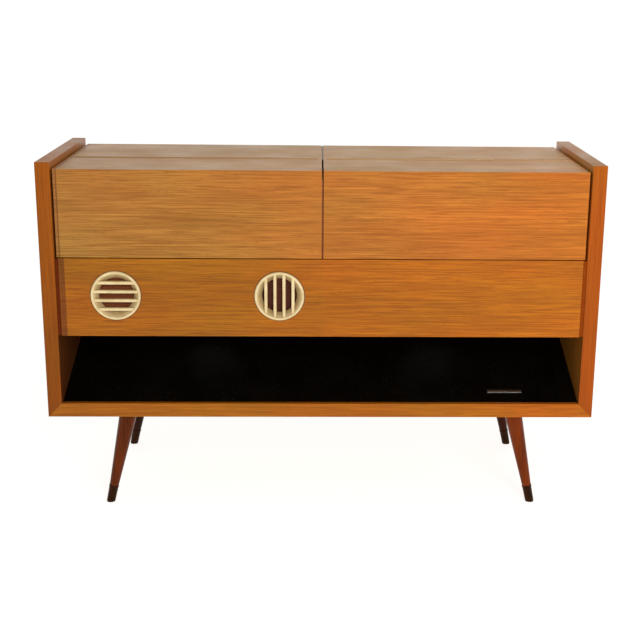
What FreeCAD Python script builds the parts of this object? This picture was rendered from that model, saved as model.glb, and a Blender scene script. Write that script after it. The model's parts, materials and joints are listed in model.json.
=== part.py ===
import FreeCAD, Part
import math
import os
import re

import Sketcher

# Radio phonograph console.
# Frame: origin on the floor under the middle of the cabinet, X to the right, Y to the back, Z up, millimetres.
# Every size below is a cell of the document's spreadsheet, and the sub-parts are bound to those cells.

SIZES = {
    # Cabinet
    "width": 1200,
    "depth": 415,
    "leg_length": 212,
    "carcass_height": 560,
    "board": 31,
    "lid_drop": 14,
    "lid_board": 18,
    "lid_end": 563.5,
    "lid_half_gap": 1.75,
    "seam_depth": 181,
    "seam_gap": 1.8,
    "groove": 1,
    "tongue_drop": 1.5,
    "tongue_play": 0.15,
    "niche_top": 185,
    "middle_height": 171,
    "middle_end": 561,
    "panel_gap": 2,
    "wall": 16,
    "wall_outer": 560,
    "wall_setback": 2,
    "batten_depth": 30,
    "partition": 18,
    "shelf_board": 16,
    "back_board": 4,
    "back_inset": 4.5,
    "vent_radius": 5,
    "vent_pitch": 32,
    "vent_rows": 4,
    "vent_columns": 9,
    "reflector_slope": 0.354,
    "reflector_front": 11.5,
    "reflector_board": 8,
    "badge_length": 78,
    "badge_width": 9,
    "badge_thickness": 1.6,
    "badge_x": 410,
    "badge_y": 44,
    # Round grilles in the middle panel
    "grille_radius": 53.5,
    "grille_hole": 50,
    "grille_height": 275,
    "grille_left_x": -442,
    "grille_right_x": -92,
    "grille_opening": 37.5,
    "grille_play": 0.3,
    "grille_depth": 14,
    "grille_recess": 8,
    "grille_lip": 4,
    "grille_bar": 6.5,
    "grille_pitch": 19,
    "bar_depth": 6,
    "bar_back": 5,
    "short_bar": 32.5,
    "long_bar": 42,
    "cloth": 1,
    "cloth_height": 130,
    # Legs
    "foot_x": 476,
    "foot_y": 180.5,
    "leg_lean_x": 45,
    "leg_lean_y": 10,
    "leg_top_radius": 19.5,
    "leg_low_radius": 10.2,
    "foot_radius": 9.5,
    "ferrule_height": 40,
    "ferrule_wall": 0.8,
    "ferrule_base": 1.5,
    "ferrule_lip": 0.3,
    "leg_spare": 30,
    "foot_spare": 10,
    "stud_radius": 4,
    "stud_length": 44,
    "stud_depth": 20,
    # Lid hinges
    "pin_radius": 0.7,
    "knuckle_radius": 1.4,
    "axis_rise": 0.4,
    "leaf": 0.7,
    "leaf_height": 14,
    "leaf_end": 8,
    "knuckles": 15,
    "knuckle_play": 0.3,
    "pin_play": 0.05,
    # Loudspeakers
    "speaker_radius": 100,
    "speaker_x": 267,
    "speaker_y": -20,
    "speaker_hole": 86,
    "treble_radius": 50,
    # Radio behind the left lid, on a sloping panel
    "radio_x": -276.5,
    "radio_y": -182,
    "radio_z": 576,
    "radio_slope": 46,
    "radio_half_width": 267.5,
    "radio_length": 205,
    "radio_panel": 4,
    "dial_half_width": 150,
    "dial_low": 105,
    "dial_high": 180,
    "dial_well": 14,
    "well_wall": 3,
    "well_margin": 6,
    "glass": 3,
    "glass_play": 0.5,
    "pointer_width": 2,
    "pointer_depth": 2,
    "pointer_lift": 4,
    "pointer_reach": 1,
    "knob_u": 205,
    "knob_v": 58,
    "small_knob_v": 142,
    "knob_radius": 22,
    "small_knob_radius": 14,
    "knob_height": 16,
    "knob_lift": 2,
    "shaft_radius": 3,
    "shaft_length": 22,
    "shaft_play": 0.05,
    "key_pitch": 40,
    "key_width": 36,
    "key_height": 22,
    "key_v": 37,
    "key_depth": 12,
    "key_back": 2,
    "key_stem": 24,
    "key_stem_width": 12,
    "key_stem_height": 7,
    "key_slot_play": 1,
    "chassis_width": 470,
    "chassis_front": -90,
    "chassis_depth": 240,
    "chassis_height": 50,
    "chassis_sheet": 1.5,
    "valve_radius": 11,
    "valve_height": 58,
    "valve_shoulder": 8,
    "valve_first_x": -90,
    "valve_pitch": 50,
    "valve_y": 110,
    "last_valve_y": 95,
    "transformer_x": -175,
    "transformer_y": 92.5,
    "core_width": 80,
    "core_depth": 65,
    "core_height": 66,
    "coil_width": 56,
    "coil_depth": 89,
    "coil_height": 42,
    "coil_lift": 12,
    "capacitor_x": 89,
    "capacitor_y": 5,
    "capacitor_width": 58,
    "capacitor_depth": 50,
    "capacitor_height": 44,
    "capacitor_shaft": 14,
    # Record player behind the right lid
    "player_x": 273,
    "player_y": -29,
    "player_width": 350,
    "player_depth": 310,
    "player_height": 30,
    "player_sheet": 2,
    "player_corner": 22,
    "spindle_x": 232,
    "spindle_y": -40,
    "spindle_radius": 3.6,
    "spindle_shank": 4,
    "bearing_radius": 8,
    "bearing_length": 20,
    "spindle_top": 22,
    "spindle_point": 4,
    "platter_radius": 128,
    "platter_lift": 5,
    "platter_height": 14,
    "platter_rim": 8,
    "platter_web": 3,
    "hub_radius": 14,
    "mat_radius": 124,
    "mat": 3,
    "idler_radius": 25,
    "idler_height": 5,
    "idler_lift": 6,
    "idler_bevel": 1,
    "pulley_radius": 5,
    "pulley_lift": 3,
    "pulley_height": 9,
    "pulley_tip": 2,
    "pulley_shaft": 23.5,
    "pulley_room": 3,
    "wheel_gap": 0.3,
    "axle_radius": 2,
    "axle_length": 10,
    "drive_angle": 45,
    "motor_radius": 38,
    "motor_height": 66,
    "motor_round": 3,
    "motor_recess": 4,
    "motor_bore": 24,
    "arm_x": 415,
    "arm_y": 70,
    "arm_height": 34,
    "arm_length": 220,
    "arm_radius": 4.5,
    "arm_tail": 36,
    "hub_depth": 16,
    "hub_height": 12,
    "hub_play": 0.5,
    "pedestal_radius": 24,
    "pedestal_base": 6,
    "pedestal_slope": 4,
    "pedestal_height": 22,
    "column_radius": 16,
    "gimbal_width": 34,
    "gimbal_cheek": 4,
    "gimbal_depth": 14,
    "gimbal_rise": 6,
    "gimbal_base": 3,
    "gimbal_shaft": 13,
    "head_width": 20,
    "head_length": 46,
    "head_reach": 11.5,
    "head_rise": 5,
    "head_drop": 9,
    "weight_radius": 9,
    "weight_length": 18,
    "weight_end": 38,
    "rest_y": -88,
    "rest_radius": 4,
    "rest_gap": 0.3,
    "pivot_radius": 1.5,
    "speed_x": 372,
    "speed_y": -160,
    "speed_radius": 14,
    "speed_taper": 1.5,
    "speed_lift": 1,
    "speed_height": 12,
    "speed_shaft": 8,
    # Rear fittings
    "screw_head": 4,
    "screw_radius": 2,
    "screw_length": 20,
    "screw_low": 600,
    "screw_pitch": 60,
    "screw_rows": 3,
    "gland_x": -500,
    "gland_z": 450,
    "gland_radius": 8,
    "gland_bore": 4,
    "gland_rim": 4,
    "gland_flange": 3,
    "gland_inside": 2,
}

doc = FreeCAD.newDocument("console")
sheet = doc.addObject("Spreadsheet::Sheet", "Sizes")
for row, (alias, number) in enumerate(SIZES.items(), start=1):
    sheet.set(f"A{row}", alias)
    sheet.set(f"B{row}", str(number))
    sheet.setAlias(f"B{row}", alias)
doc.recompute()

# Levels that many sub-parts share, as formulas of the cells
FRONT = "(-depth / 2)"
BACK = "(depth / 2)"
INNER_FRONT = "(-depth / 2 + lid_board)"
BACK_FACE = "(depth / 2 - back_inset)"
INNER_BACK = "(depth / 2 - back_inset - back_board)"
SEAM = "(-depth / 2 + seam_depth)"
LID_REAR = "(-depth / 2 + seam_depth - seam_gap / 2)"
REAR_TOP_FRONT = "(-depth / 2 + seam_depth + seam_gap / 2)"
INNER_WIDTH = "(width / 2 - board)"
WALL_INNER = "(wall_outer - wall)"
BASE = "leg_length"
FLOOR_TOP = "(leg_length + board)"
NICHE_TOP = "(leg_length + niche_top)"
MIDDLE_TOP = "(leg_length + niche_top + middle_height)"
TOP = "(leg_length + carcass_height - lid_drop)"
LID_UNDER = "(leg_length + carcass_height - lid_drop - lid_board)"
PLATE_TOP = "(leg_length + niche_top + middle_height + player_height)"
PLATTER_BOTTOM = "(leg_length + niche_top + middle_height + player_height + platter_lift)"
PLATTER_TOP = "(leg_length + niche_top + middle_height + player_height + platter_lift + platter_height)"

UPRIGHT = FreeCAD.Rotation()
TOWARDS_FRONT = FreeCAD.Rotation(FreeCAD.Vector(1, 0, 0), 90)
TOWARDS_BACK = FreeCAD.Rotation(FreeCAD.Vector(1, 0, 0), -90)
X_AXIS = FreeCAD.Vector(1, 0, 0)
Z_AXIS = FreeCAD.Vector(0, 0, 1)

nodes = []


# ---------------------------------------------------------------- helpers

def formula(text):
    """The text of a size with each cell's name written as the spreadsheet's."""
    return re.sub(r"[a-z][a-z_]*", lambda word: "Sizes." + word.group(), str(text))


def bind(item, **values):
    """Bind an object's properties to formulas of the cells."""
    for name, text in values.items():
        item.setExpression(name, formula(text))


def put_at(item, x=0, y=0, z=0, rotation=UPRIGHT):
    """Place an object at formulas of the cells."""
    item.Placement = FreeCAD.Placement(FreeCAD.Vector(), rotation)
    for axis, text in zip("xyz", (x, y, z)):
        item.setExpression("Placement.Base." + axis, formula(text))


def keep(item, label):
    """Name a finished sub-part and list it for writing."""
    item.Label = label
    nodes.append(item)
    return item


def block(x, y, z):
    """A plain rectangular block between pairs of formulas."""
    item = doc.addObject("Part::Box", "block")
    for name, (low, high) in zip(("Length", "Width", "Height"), (x, y, z)):
        item.setExpression(name, formula(f"({high}) - ({low})"))
    put_at(item, x[0], y[0], z[0])
    return item


def rod(radius, length, x=0, y=0, z=0, rotation=UPRIGHT):
    """A plain round rod from a point, along its rotated Z."""
    item = doc.addObject("Part::Cylinder", "rod")
    bind(item, Radius=radius, Height=length)
    put_at(item, x, y, z, rotation)
    return item


def cut(base, tool):
    item = doc.addObject("Part::Cut", "cut")
    item.Base = base
    item.Tool = tool
    return item


def common(base, tool):
    item = doc.addObject("Part::Common", "common")
    item.Base = base
    item.Tool = tool
    return item


def fuse(pieces):
    item = doc.addObject("Part::MultiFuse", "fuse")
    item.Shapes = pieces
    return item


def group(pieces):
    """Separate solids of one kind that share a node."""
    item = doc.addObject("Part::Compound", "group")
    item.Links = pieces
    return item


def body_plane(body, role):
    return next(item for item in body.Origin.OriginFeatures if item.Role == role)


def fix_point(sketch, curve, end, x, y):
    """Hold one point of a sketch at two formulas."""
    for kind, text in (("DistanceX", x), ("DistanceY", y)):
        index = sketch.addConstraint(Sketcher.Constraint(kind, -1, 1, curve, end, 1.0))
        sketch.setExpression(f"Constraints[{index}]", formula(text))


def add_outline(sketch, corners):
    """A closed outline of straight lines through corners given as formulas."""
    count = len(corners)
    start = sketch.GeometryCount
    ring = []
    for step in range(count):
        turn = 2 * math.pi * step / count
        ring.append(FreeCAD.Vector(100 * math.cos(turn), 100 * math.sin(turn), 0))
    for step in range(count):
        sketch.addGeometry(Part.LineSegment(ring[step], ring[(step + 1) % count]), False)
    for step in range(count):
        following = start + (step + 1) % count
        sketch.addConstraint(Sketcher.Constraint("Coincident", start + step, 2, following, 1))
    for step, (x, y) in enumerate(corners):
        fix_point(sketch, start + step, 1, x, y)


def add_circle(sketch, x, y, radius):
    """A circle whose centre and radius are formulas."""
    circle = Part.Circle(FreeCAD.Vector(1, 1, 0), Z_AXIS, 2.0)
    curve = sketch.addGeometry(circle, False)
    fix_point(sketch, curve, 3, x, y)
    index = sketch.addConstraint(Sketcher.Constraint("Radius", curve, 2.0))
    sketch.setExpression(f"Constraints[{index}]", formula(radius))


def new_sketch(body, role, corners=(), circles=(), offset=0):
    """A sketch on one of a body's own planes, moved along the plane's normal by a formula."""
    sketch = body.newObject("Sketcher::SketchObject", "sketch")
    sketch.AttachmentSupport = (body_plane(body, role), [""])
    sketch.MapMode = "FlatFace"
    sketch.setExpression("AttachmentOffset.Base.z", formula(offset))
    if corners:
        add_outline(sketch, corners)
    for circle in circles:
        add_circle(sketch, *circle)
    return sketch


def padded(role, length, corners=(), circles=(), offset=0, middle=False):
    """A body: one sketch, padded along its plane's normal."""
    body = doc.addObject("PartDesign::Body", "body")
    sketch = new_sketch(body, role, corners, circles, offset)
    pad = body.newObject("PartDesign::Pad", "pad")
    pad.Profile = sketch
    bind(pad, Length=length)
    if middle:
        pad.SideType = "Symmetric"
    return body


def add_pocket(body, role, depth, corners=(), circles=(), offset=0, reverse=False):
    """A pocket from a plane of the body, refused if it cuts nothing."""
    doc.recompute()
    volume = body.Shape.Volume
    sketch = new_sketch(body, role, corners, circles, offset)
    pocket = body.newObject("PartDesign::Pocket", "pocket")
    pocket.Profile = sketch
    pocket.Reversed = reverse
    bind(pocket, Length=depth)
    doc.recompute()
    if body.Shape.Volume >= volume:
        raise ValueError("a pocket cut nothing")
    return pocket


def turned(profile, x=0, y=0, z=0, rotation=UPRIGHT):
    """A body turned about its own Z from a profile of (radius, height) formulas."""
    body = doc.addObject("PartDesign::Body", "body")
    sketch = new_sketch(body, "XZ_Plane", profile)
    spin = body.newObject("PartDesign::Revolution", "turning")
    spin.Profile = sketch
    spin.ReferenceAxis = (sketch, ["V_Axis"])
    spin.Angle = 360
    put_at(body, x, y, z, rotation)
    return body


def rectangle(x, y):
    """The corners of a rectangle between two pairs of formulas."""
    return [(x[0], y[0]), (x[1], y[0]), (x[1], y[1]), (x[0], y[1])]


# ---------------------------------------------------------------- cabinet

def make_outer_boards():
    """Two sides and a bottom, mitred together at the lower corners."""
    height = "(leg_length + carcass_height)"
    for side, sign in (("left", "-"), ("right", "")):
        outer = f"{sign}width / 2"
        inner = f"{sign}{INNER_WIDTH}"
        corners = [(outer, BASE), (outer, height), (inner, height), (inner, FLOOR_TOP)]
        keep(padded("XZ_Plane", "depth", corners, middle=True), "side_board_" + side)
    corners = [
        ("-width / 2", BASE),
        ("width / 2", BASE),
        (INNER_WIDTH, FLOOR_TOP),
        ("-" + INNER_WIDTH, FLOOR_TOP),
    ]
    bottom = padded("XZ_Plane", "depth", corners, middle=True)
    keep(cut(bottom, group([stud(*place) for place in leg_places()])), "bottom_board")


def inner_wall(low, high, x_low, x_high, full_height=True):
    """An upright inner board, stepped back behind the lids so that they close clear of it."""
    behind_lid = f"({INNER_FRONT} + wall_setback)"
    under_lid = f"({LID_UNDER} - 1)"
    step_back = MIDDLE_TOP if full_height else low
    corners = [(INNER_BACK, low), (INNER_BACK, high), (REAR_TOP_FRONT, high), (REAR_TOP_FRONT, under_lid)]
    corners += [(behind_lid, under_lid), (behind_lid, step_back)]
    if full_height:
        corners += [(INNER_FRONT, step_back), (INNER_FRONT, low)]
    body = padded("YZ_Plane", f"{x_high} - ({x_low})", corners)
    put_at(body, x=x_low)
    return body


def make_inner_walls():
    """End walls with battens that hold them off the sides, and the partition between radio and player."""
    for side, sign in (("left", -1), ("right", 1)):
        x_low = "-wall_outer" if sign < 0 else WALL_INNER
        x_high = "-" + WALL_INNER if sign < 0 else "wall_outer"
        wall = inner_wall(NICHE_TOP, LID_UNDER, x_low, x_high)
        gap = ("-" + INNER_WIDTH, "-wall_outer") if sign < 0 else ("wall_outer", INNER_WIDTH)
        height = (NICHE_TOP, f"{LID_UNDER} - batten_depth")
        front = (f"{INNER_FRONT} + batten_depth", f"{INNER_FRONT} + 2 * batten_depth")
        rear = (f"{INNER_BACK} - 2 * batten_depth", f"{INNER_BACK} - batten_depth")
        battens = [block(gap, front, height), block(gap, rear, height)]
        keep(fuse([wall] + battens), "end_wall_" + side)
    middle = inner_wall(MIDDLE_TOP, LID_UNDER, "-partition / 2", "partition / 2", full_height=False)
    keep(middle, "centre_partition")


def make_shelves():
    """The loudspeaker board over the niche, the floor under radio and player, and the sloping reflector."""
    across = ("-" + WALL_INNER, WALL_INNER)
    deep = (INNER_FRONT, INNER_BACK)
    holes = [("-speaker_x", "speaker_y", "speaker_hole"), ("speaker_x", "speaker_y", "speaker_hole")]
    speaker_board = padded("XY_Plane", "shelf_board", rectangle(across, deep), holes)
    put_at(speaker_board, z=NICHE_TOP)
    keep(speaker_board, "speaker_board")
    floor = padded("XY_Plane", "shelf_board", rectangle(across, deep))
    put_at(floor, z=f"{MIDDLE_TOP} - shelf_board")
    well = rectangle(("spindle_x - 10", "spindle_x + 100"), ("spindle_y - 10", "spindle_y + 100"))
    add_pocket(floor, "XY_Plane", "shelf_board", well, reverse=True)
    keep(floor, "compartment_floor")
    front = f"({FRONT} + reflector_front)"
    rise = f"reflector_slope * ({INNER_BACK} - {front})"
    corners = [
        (front, FLOOR_TOP),
        (INNER_BACK, f"{FLOOR_TOP} + {rise}"),
        (INNER_BACK, f"{FLOOR_TOP} + {rise} - reflector_board"),
        (f"{front} + reflector_board / reflector_slope", FLOOR_TOP),
    ]
    keep(padded("YZ_Plane", "width - 2 * board", corners, middle=True), "reflector_board")


def make_badge():
    """A plain bright bar on the reflector."""
    lean = math.degrees(math.atan(SIZES["reflector_slope"]))
    badge = padded("XY_Plane", "badge_thickness", rectangle(("0", "badge_length"), ("0", "badge_width")))
    height = f"{FLOOR_TOP} + reflector_slope * (badge_y - reflector_front)"
    put_at(badge, "badge_x - badge_length / 2", f"{FRONT} + badge_y", height, FreeCAD.Rotation(X_AXIS, lean))
    keep(badge, "badge_bar")


def make_tops():
    """The fixed rear tops, chamfered along the hinge groove, and a tongue that closes the gap between them."""
    corners = [
        (REAR_TOP_FRONT, LID_UNDER),
        (BACK, LID_UNDER),
        (BACK, TOP),
        (f"{REAR_TOP_FRONT} + groove", TOP),
        (REAR_TOP_FRONT, f"{TOP} - groove"),
    ]
    tongue = block(
        ("-lid_half_gap - groove", "lid_half_gap - tongue_play"),
        (REAR_TOP_FRONT, BACK),
        (LID_UNDER, f"{TOP} - tongue_drop"),
    )
    for side, low in (("left", "-lid_end"), ("right", "lid_half_gap")):
        top = padded("YZ_Plane", "lid_end - lid_half_gap", corners)
        put_at(top, x=low)
        keep(fuse([top, tongue]) if side == "left" else top, "rear_top_" + side)


def make_middle_panel():
    """The fixed front panel with its two round holes, and the cloth behind them."""
    height = f"{BASE} + grille_height"
    holes = [("grille_left_x", height, "grille_hole"), ("grille_right_x", height, "grille_hole")]
    outline = rectangle(("-middle_end", "middle_end"), (NICHE_TOP, MIDDLE_TOP))
    panel = padded("XZ_Plane", "lid_board", outline, holes)
    put_at(panel, y=INNER_FRONT)
    keep(panel, "middle_panel")
    across = ("grille_left_x - cloth_height / 2", "grille_right_x + cloth_height / 2")
    tall = (f"{height} - cloth_height / 2", f"{height} + cloth_height / 2")
    keep(block(across, (INNER_FRONT, f"{INNER_FRONT} + cloth"), tall), "grille_cloth")


def make_back_panel():
    """The rear hardboard with a grid of air holes behind the radio and a hole for the mains gland."""
    outline = rectangle(("-" + INNER_WIDTH, INNER_WIDTH), (FLOOR_TOP, LID_UNDER))
    gland = [("gland_x", "gland_z", "gland_radius")]
    panel = padded("XZ_Plane", "back_board", outline, gland)
    put_at(panel, y=BACK_FACE)
    first_x = "radio_x - (vent_columns - 1) / 2 * vent_pitch"
    first_z = f"{MIDDLE_TOP} + chassis_height"
    vent = add_pocket(panel, "XZ_Plane", "back_board", circles=[(first_x, first_z, "vent_radius")], reverse=True)
    before = panel.Shape.Volume
    grid = panel.newObject("PartDesign::LinearPattern", "vents")
    grid.Originals = [vent]
    grid.Direction = (vent.Profile[0], ["H_Axis"])
    grid.Direction2 = (vent.Profile[0], ["V_Axis"])
    bind(grid, Length="(vent_columns - 1) * vent_pitch", Occurrences="vent_columns")
    bind(grid, Length2="(vent_rows - 1) * vent_pitch", Occurrences2="vent_rows")
    panel.Tip = grid
    doc.recompute()
    if panel.Shape.Volume >= before:
        raise ValueError("the air holes cut nothing")
    keep(panel, "back_panel")


def make_rear_fittings():
    """Screws through the rear panel into the walls behind it, and the rubber bush for the mains lead."""
    profile = [
        ("0", "0"),
        ("screw_radius", "0"),
        ("screw_radius", "screw_length"),
        ("screw_head", "screw_length"),
        ("screw_head / 2", "screw_length + screw_radius"),
        ("0", "screw_length + screw_radius"),
    ]
    screws = []
    for x in ("-wall_outer + wall / 2", "0", "wall_outer - wall / 2"):
        for row in range(SIZES["screw_rows"]):
            height = f"screw_low + {row} * screw_pitch"
            screws.append(turned(profile, x, f"{BACK_FACE} - screw_length", height, TOWARDS_BACK))
    keep(group(screws), "rear_screws")
    bush = [
        ("gland_bore", "-back_board - gland_inside"),
        ("gland_radius", "-back_board - gland_inside"),
        ("gland_radius", "0"),
        ("gland_radius + gland_rim", "0"),
        ("gland_radius + gland_rim - 1", "gland_flange"),
        ("gland_bore", "gland_flange"),
    ]
    keep(turned(bush, "gland_x", BACK_FACE, "gland_z", TOWARDS_BACK), "mains_gland")


# ---------------------------------------------------------------- grilles

def make_grille(label, x, upright_bars):
    """A round moulding with a conical recess and four bars across it."""
    profile = [
        ("grille_opening", "-grille_depth"),
        ("grille_hole - grille_play", "-grille_depth"),
        ("grille_hole - grille_play", "0"),
        ("grille_radius", "0"),
        ("grille_radius", "grille_lip / 2"),
        ("grille_radius - grille_lip / 2", "grille_lip"),
        ("grille_radius - grille_lip - 1", "grille_lip"),
        ("grille_opening", "-grille_recess"),
    ]
    height = f"{BASE} + grille_height"
    ring = turned(profile, x, FRONT, height, TOWARDS_FRONT)
    pieces = [ring]
    for step, reach in ((-1.5, "short_bar"), (-0.5, "long_bar"), (0.5, "long_bar"), (1.5, "short_bar")):
        along = ("-" + reach, reach)
        wide = (f"{step} * grille_pitch - grille_bar / 2", f"{step} * grille_pitch + grille_bar / 2")
        across = rectangle(wide, along) if upright_bars else rectangle(along, wide)
        bar = padded("XY_Plane", "bar_depth", across, offset="-bar_back")
        put_at(bar, x, FRONT, height, TOWARDS_FRONT)
        pieces.append(bar)
    keep(fuse(pieces), label)


# ---------------------------------------------------------------- legs

def leg_places():
    """Name and outward signs of the four legs."""
    return [
        ("front_left", -1, -1),
        ("front_right", 1, -1),
        ("rear_left", -1, 1),
        ("rear_right", 1, 1),
    ]


def leg_placement(x_sign, y_sign, along=0.0):
    """The frame of a leg: its origin at the foot, its Z along the leg, moved along by a distance."""
    rise = FreeCAD.Vector(
        -x_sign * SIZES["leg_lean_x"],
        -y_sign * SIZES["leg_lean_y"],
        SIZES["leg_length"],
    )
    foot = FreeCAD.Vector(x_sign * SIZES["foot_x"], y_sign * SIZES["foot_y"], 0)
    turn = FreeCAD.Rotation(Z_AXIS, rise)
    return FreeCAD.Placement(foot + turn.multVec(FreeCAD.Vector(0, 0, along)), turn)


def stud(_name, x_sign, y_sign):
    """The threaded stud that joins a leg to the bottom board."""
    item = doc.addObject("Part::Cylinder", "stud")
    bind(item, Radius="stud_radius", Height="stud_length")
    slant = math.hypot(SIZES["leg_length"], math.hypot(SIZES["leg_lean_x"], SIZES["leg_lean_y"]))
    item.Placement = leg_placement(x_sign, y_sign, slant + SIZES["stud_depth"] - SIZES["stud_length"])
    return item


def leg_cone(x_sign, y_sign, profile):
    body = turned(profile)
    for axis in "xyz":
        body.setExpression("Placement.Base." + axis, None)
    body.Placement = leg_placement(x_sign, y_sign)
    return body


def make_legs():
    """Round tapered legs, splayed outwards, each with a metal ferrule round its foot."""
    taper = "(leg_top_radius - leg_low_radius) / (leg_length - ferrule_height)"
    over = "(leg_length + leg_spare)"
    over_radius = f"(leg_low_radius + {taper} * ({over} - ferrule_height))"
    wood = [
        ("0", "ferrule_base"),
        ("foot_radius - ferrule_wall", "ferrule_base"),
        ("leg_low_radius - ferrule_wall", "ferrule_height"),
        ("leg_low_radius", "ferrule_height"),
        (over_radius, over),
        ("0", over),
    ]
    metal = [
        ("0", "-foot_spare"),
        ("foot_radius", "-foot_spare"),
        ("leg_low_radius + ferrule_lip", "ferrule_height"),
        ("leg_low_radius - ferrule_wall", "ferrule_height"),
        ("foot_radius - ferrule_wall", "ferrule_base"),
        ("0", "ferrule_base"),
    ]
    ferrules = []
    studs = []
    for name, x_sign, y_sign in leg_places():
        room = block(("-width", "width"), ("-depth", "depth"), ("0", BASE))
        shape = common(leg_cone(x_sign, y_sign, wood), room)
        keep(cut(shape, stud(name, x_sign, y_sign)), "leg_" + name)
        above_floor = block(("-width", "width"), ("-depth", "depth"), ("0", BASE))
        ferrules.append(common(leg_cone(x_sign, y_sign, metal), above_floor))
        studs.append(stud(name, x_sign, y_sign))
    keep(group(ferrules), "leg_ferrules")
    keep(group(studs), "leg_studs")


# ---------------------------------------------------------------- lids and their hinges

def make_lids():
    """Two corner lids, each a top board and a front board mitred together."""
    top_corners = [
        (FRONT, TOP),
        (f"{LID_REAR} - groove", TOP),
        (LID_REAR, f"{TOP} - groove"),
        (LID_REAR, LID_UNDER),
        (INNER_FRONT, LID_UNDER),
    ]
    lower_edge = f"({MIDDLE_TOP} + panel_gap)"
    front_corners = [(FRONT, TOP), (FRONT, lower_edge), (INNER_FRONT, lower_edge), (INNER_FRONT, LID_UNDER)]
    for side, low in (("left", "-lid_end"), ("right", "lid_half_gap")):
        for part, corners in (("top", top_corners), ("front", front_corners)):
            lid = padded("YZ_Plane", "lid_end - lid_half_gap", corners)
            put_at(lid, x=low)
            keep(lid, f"lid_{side}_{part}")


def hinge_leaf(low, first, y_low, y_high, bore):
    """A leaf strip with every second knuckle of a lid's hinge, counted from the first."""
    length = "(lid_end - lid_half_gap - 2 * leaf_end)"
    start = f"({low} + leaf_end)"
    axis_height = f"({TOP} + axis_rise)"
    strip_top = f"({TOP} + axis_rise - knuckle_radius - knuckle_play)"
    pieces = [block((start, f"{start} + {length}"), (y_low, y_high), (f"{strip_top} - leaf_height", strip_top))]
    for step in range(first, SIZES["knuckles"], 2):
        near = f"({start} + {step} * {length} / knuckles + knuckle_play / 2)"
        far = f"({start} + {step + 1} * {length} / knuckles - knuckle_play / 2)"
        pieces.append(block((near, far), (y_low, y_high), (f"{strip_top} - 1", axis_height)))
        along_x = FreeCAD.Rotation(FreeCAD.Vector(0, 1, 0), 90)
        pieces.append(rod("knuckle_radius", f"{far} - {near}", near, SEAM, axis_height, along_x))
    return cut(fuse(pieces), hinge_pin(low, bore))


def hinge_pin(low, radius):
    """The pin of one lid's hinge."""
    along_x = FreeCAD.Rotation(FreeCAD.Vector(0, 1, 0), 90)
    length = "lid_end - lid_half_gap - 2 * leaf_end"
    return rod(radius, length, f"{low} + leaf_end", SEAM, f"{TOP} + axis_rise", along_x)


def make_hinges():
    """A piano hinge in the groove of each lid: a fixed leaf, a lid leaf and a pin."""
    fixed = []
    pins = []
    for side, low in (("left", "-lid_end"), ("right", "lid_half_gap")):
        fixed.append(hinge_leaf(low, 0, f"{REAR_TOP_FRONT} - leaf", REAR_TOP_FRONT, "pin_radius"))
        moving = hinge_leaf(low, 1, LID_REAR, f"{LID_REAR} + leaf", "pin_radius + pin_play")
        keep(moving, f"lid_{side}_hinge_leaf")
        pins.append(hinge_pin(low, "pin_radius"))
    keep(group(fixed), "fixed_hinge_leaves")
    keep(group(pins), "hinge_pins")


# ---------------------------------------------------------------- loudspeakers

def scaled(profile, size):
    """A profile given as fractions of a size."""
    return [(f"{radius} * {size}", f"{height} * {size}") for radius, height in profile]


def make_speakers():
    """Two main loudspeakers that fire down into the niche, and a small one behind each round grille."""
    basket = [
        (1.0, 0), (1.0, 0.03), (0.91, 0.03), (0.44, 0.52), (0.40, 0.52), (0.40, 0.80), (0, 0.80),
        (0, 0.58), (0.36, 0.58), (0.40, 0.51), (0.88, 0.02), (0.88, 0),
    ]
    cone = [
        (0.88, 0), (0.88, 0.01), (0.85, 0.01), (0.22, 0.56), (0, 0.56), (0, 0.545), (0.212, 0.545), (0.838, 0),
    ]
    behind_cloth = f"({INNER_FRONT} + cloth)"
    grille_z = f"({BASE} + grille_height)"
    board_top = f"({NICHE_TOP} + shelf_board)"
    places = [
        ("speaker_radius", "-speaker_x", "speaker_y", board_top, UPRIGHT),
        ("speaker_radius", "speaker_x", "speaker_y", board_top, UPRIGHT),
        ("treble_radius", "grille_left_x", behind_cloth, grille_z, TOWARDS_BACK),
        ("treble_radius", "grille_right_x", behind_cloth, grille_z, TOWARDS_BACK),
    ]
    for label, profile in (("speaker_baskets", basket), ("speaker_cones", cone)):
        keep(group([turned(scaled(profile, size), *place) for size, *place in places]), label)


# ---------------------------------------------------------------- radio

def on_panel(across, up, out):
    """A placement on the radio's sloping panel: across it, up it and out of it."""
    slope = FreeCAD.Rotation(X_AXIS, SIZES["radio_slope"])
    corner = FreeCAD.Vector(SIZES["radio_x"], SIZES["radio_y"], SIZES["radio_z"])
    return FreeCAD.Placement(corner + slope.multVec(FreeCAD.Vector(across, up, out)), slope)


def panel_block(across, up, low, high):
    """A rectangular block in the sloping panel's own frame."""
    body = padded("XY_Plane", f"({high}) - ({low})", rectangle(across, up), offset=low)
    body.Placement = on_panel(0, 0, 0)
    return body


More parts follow.
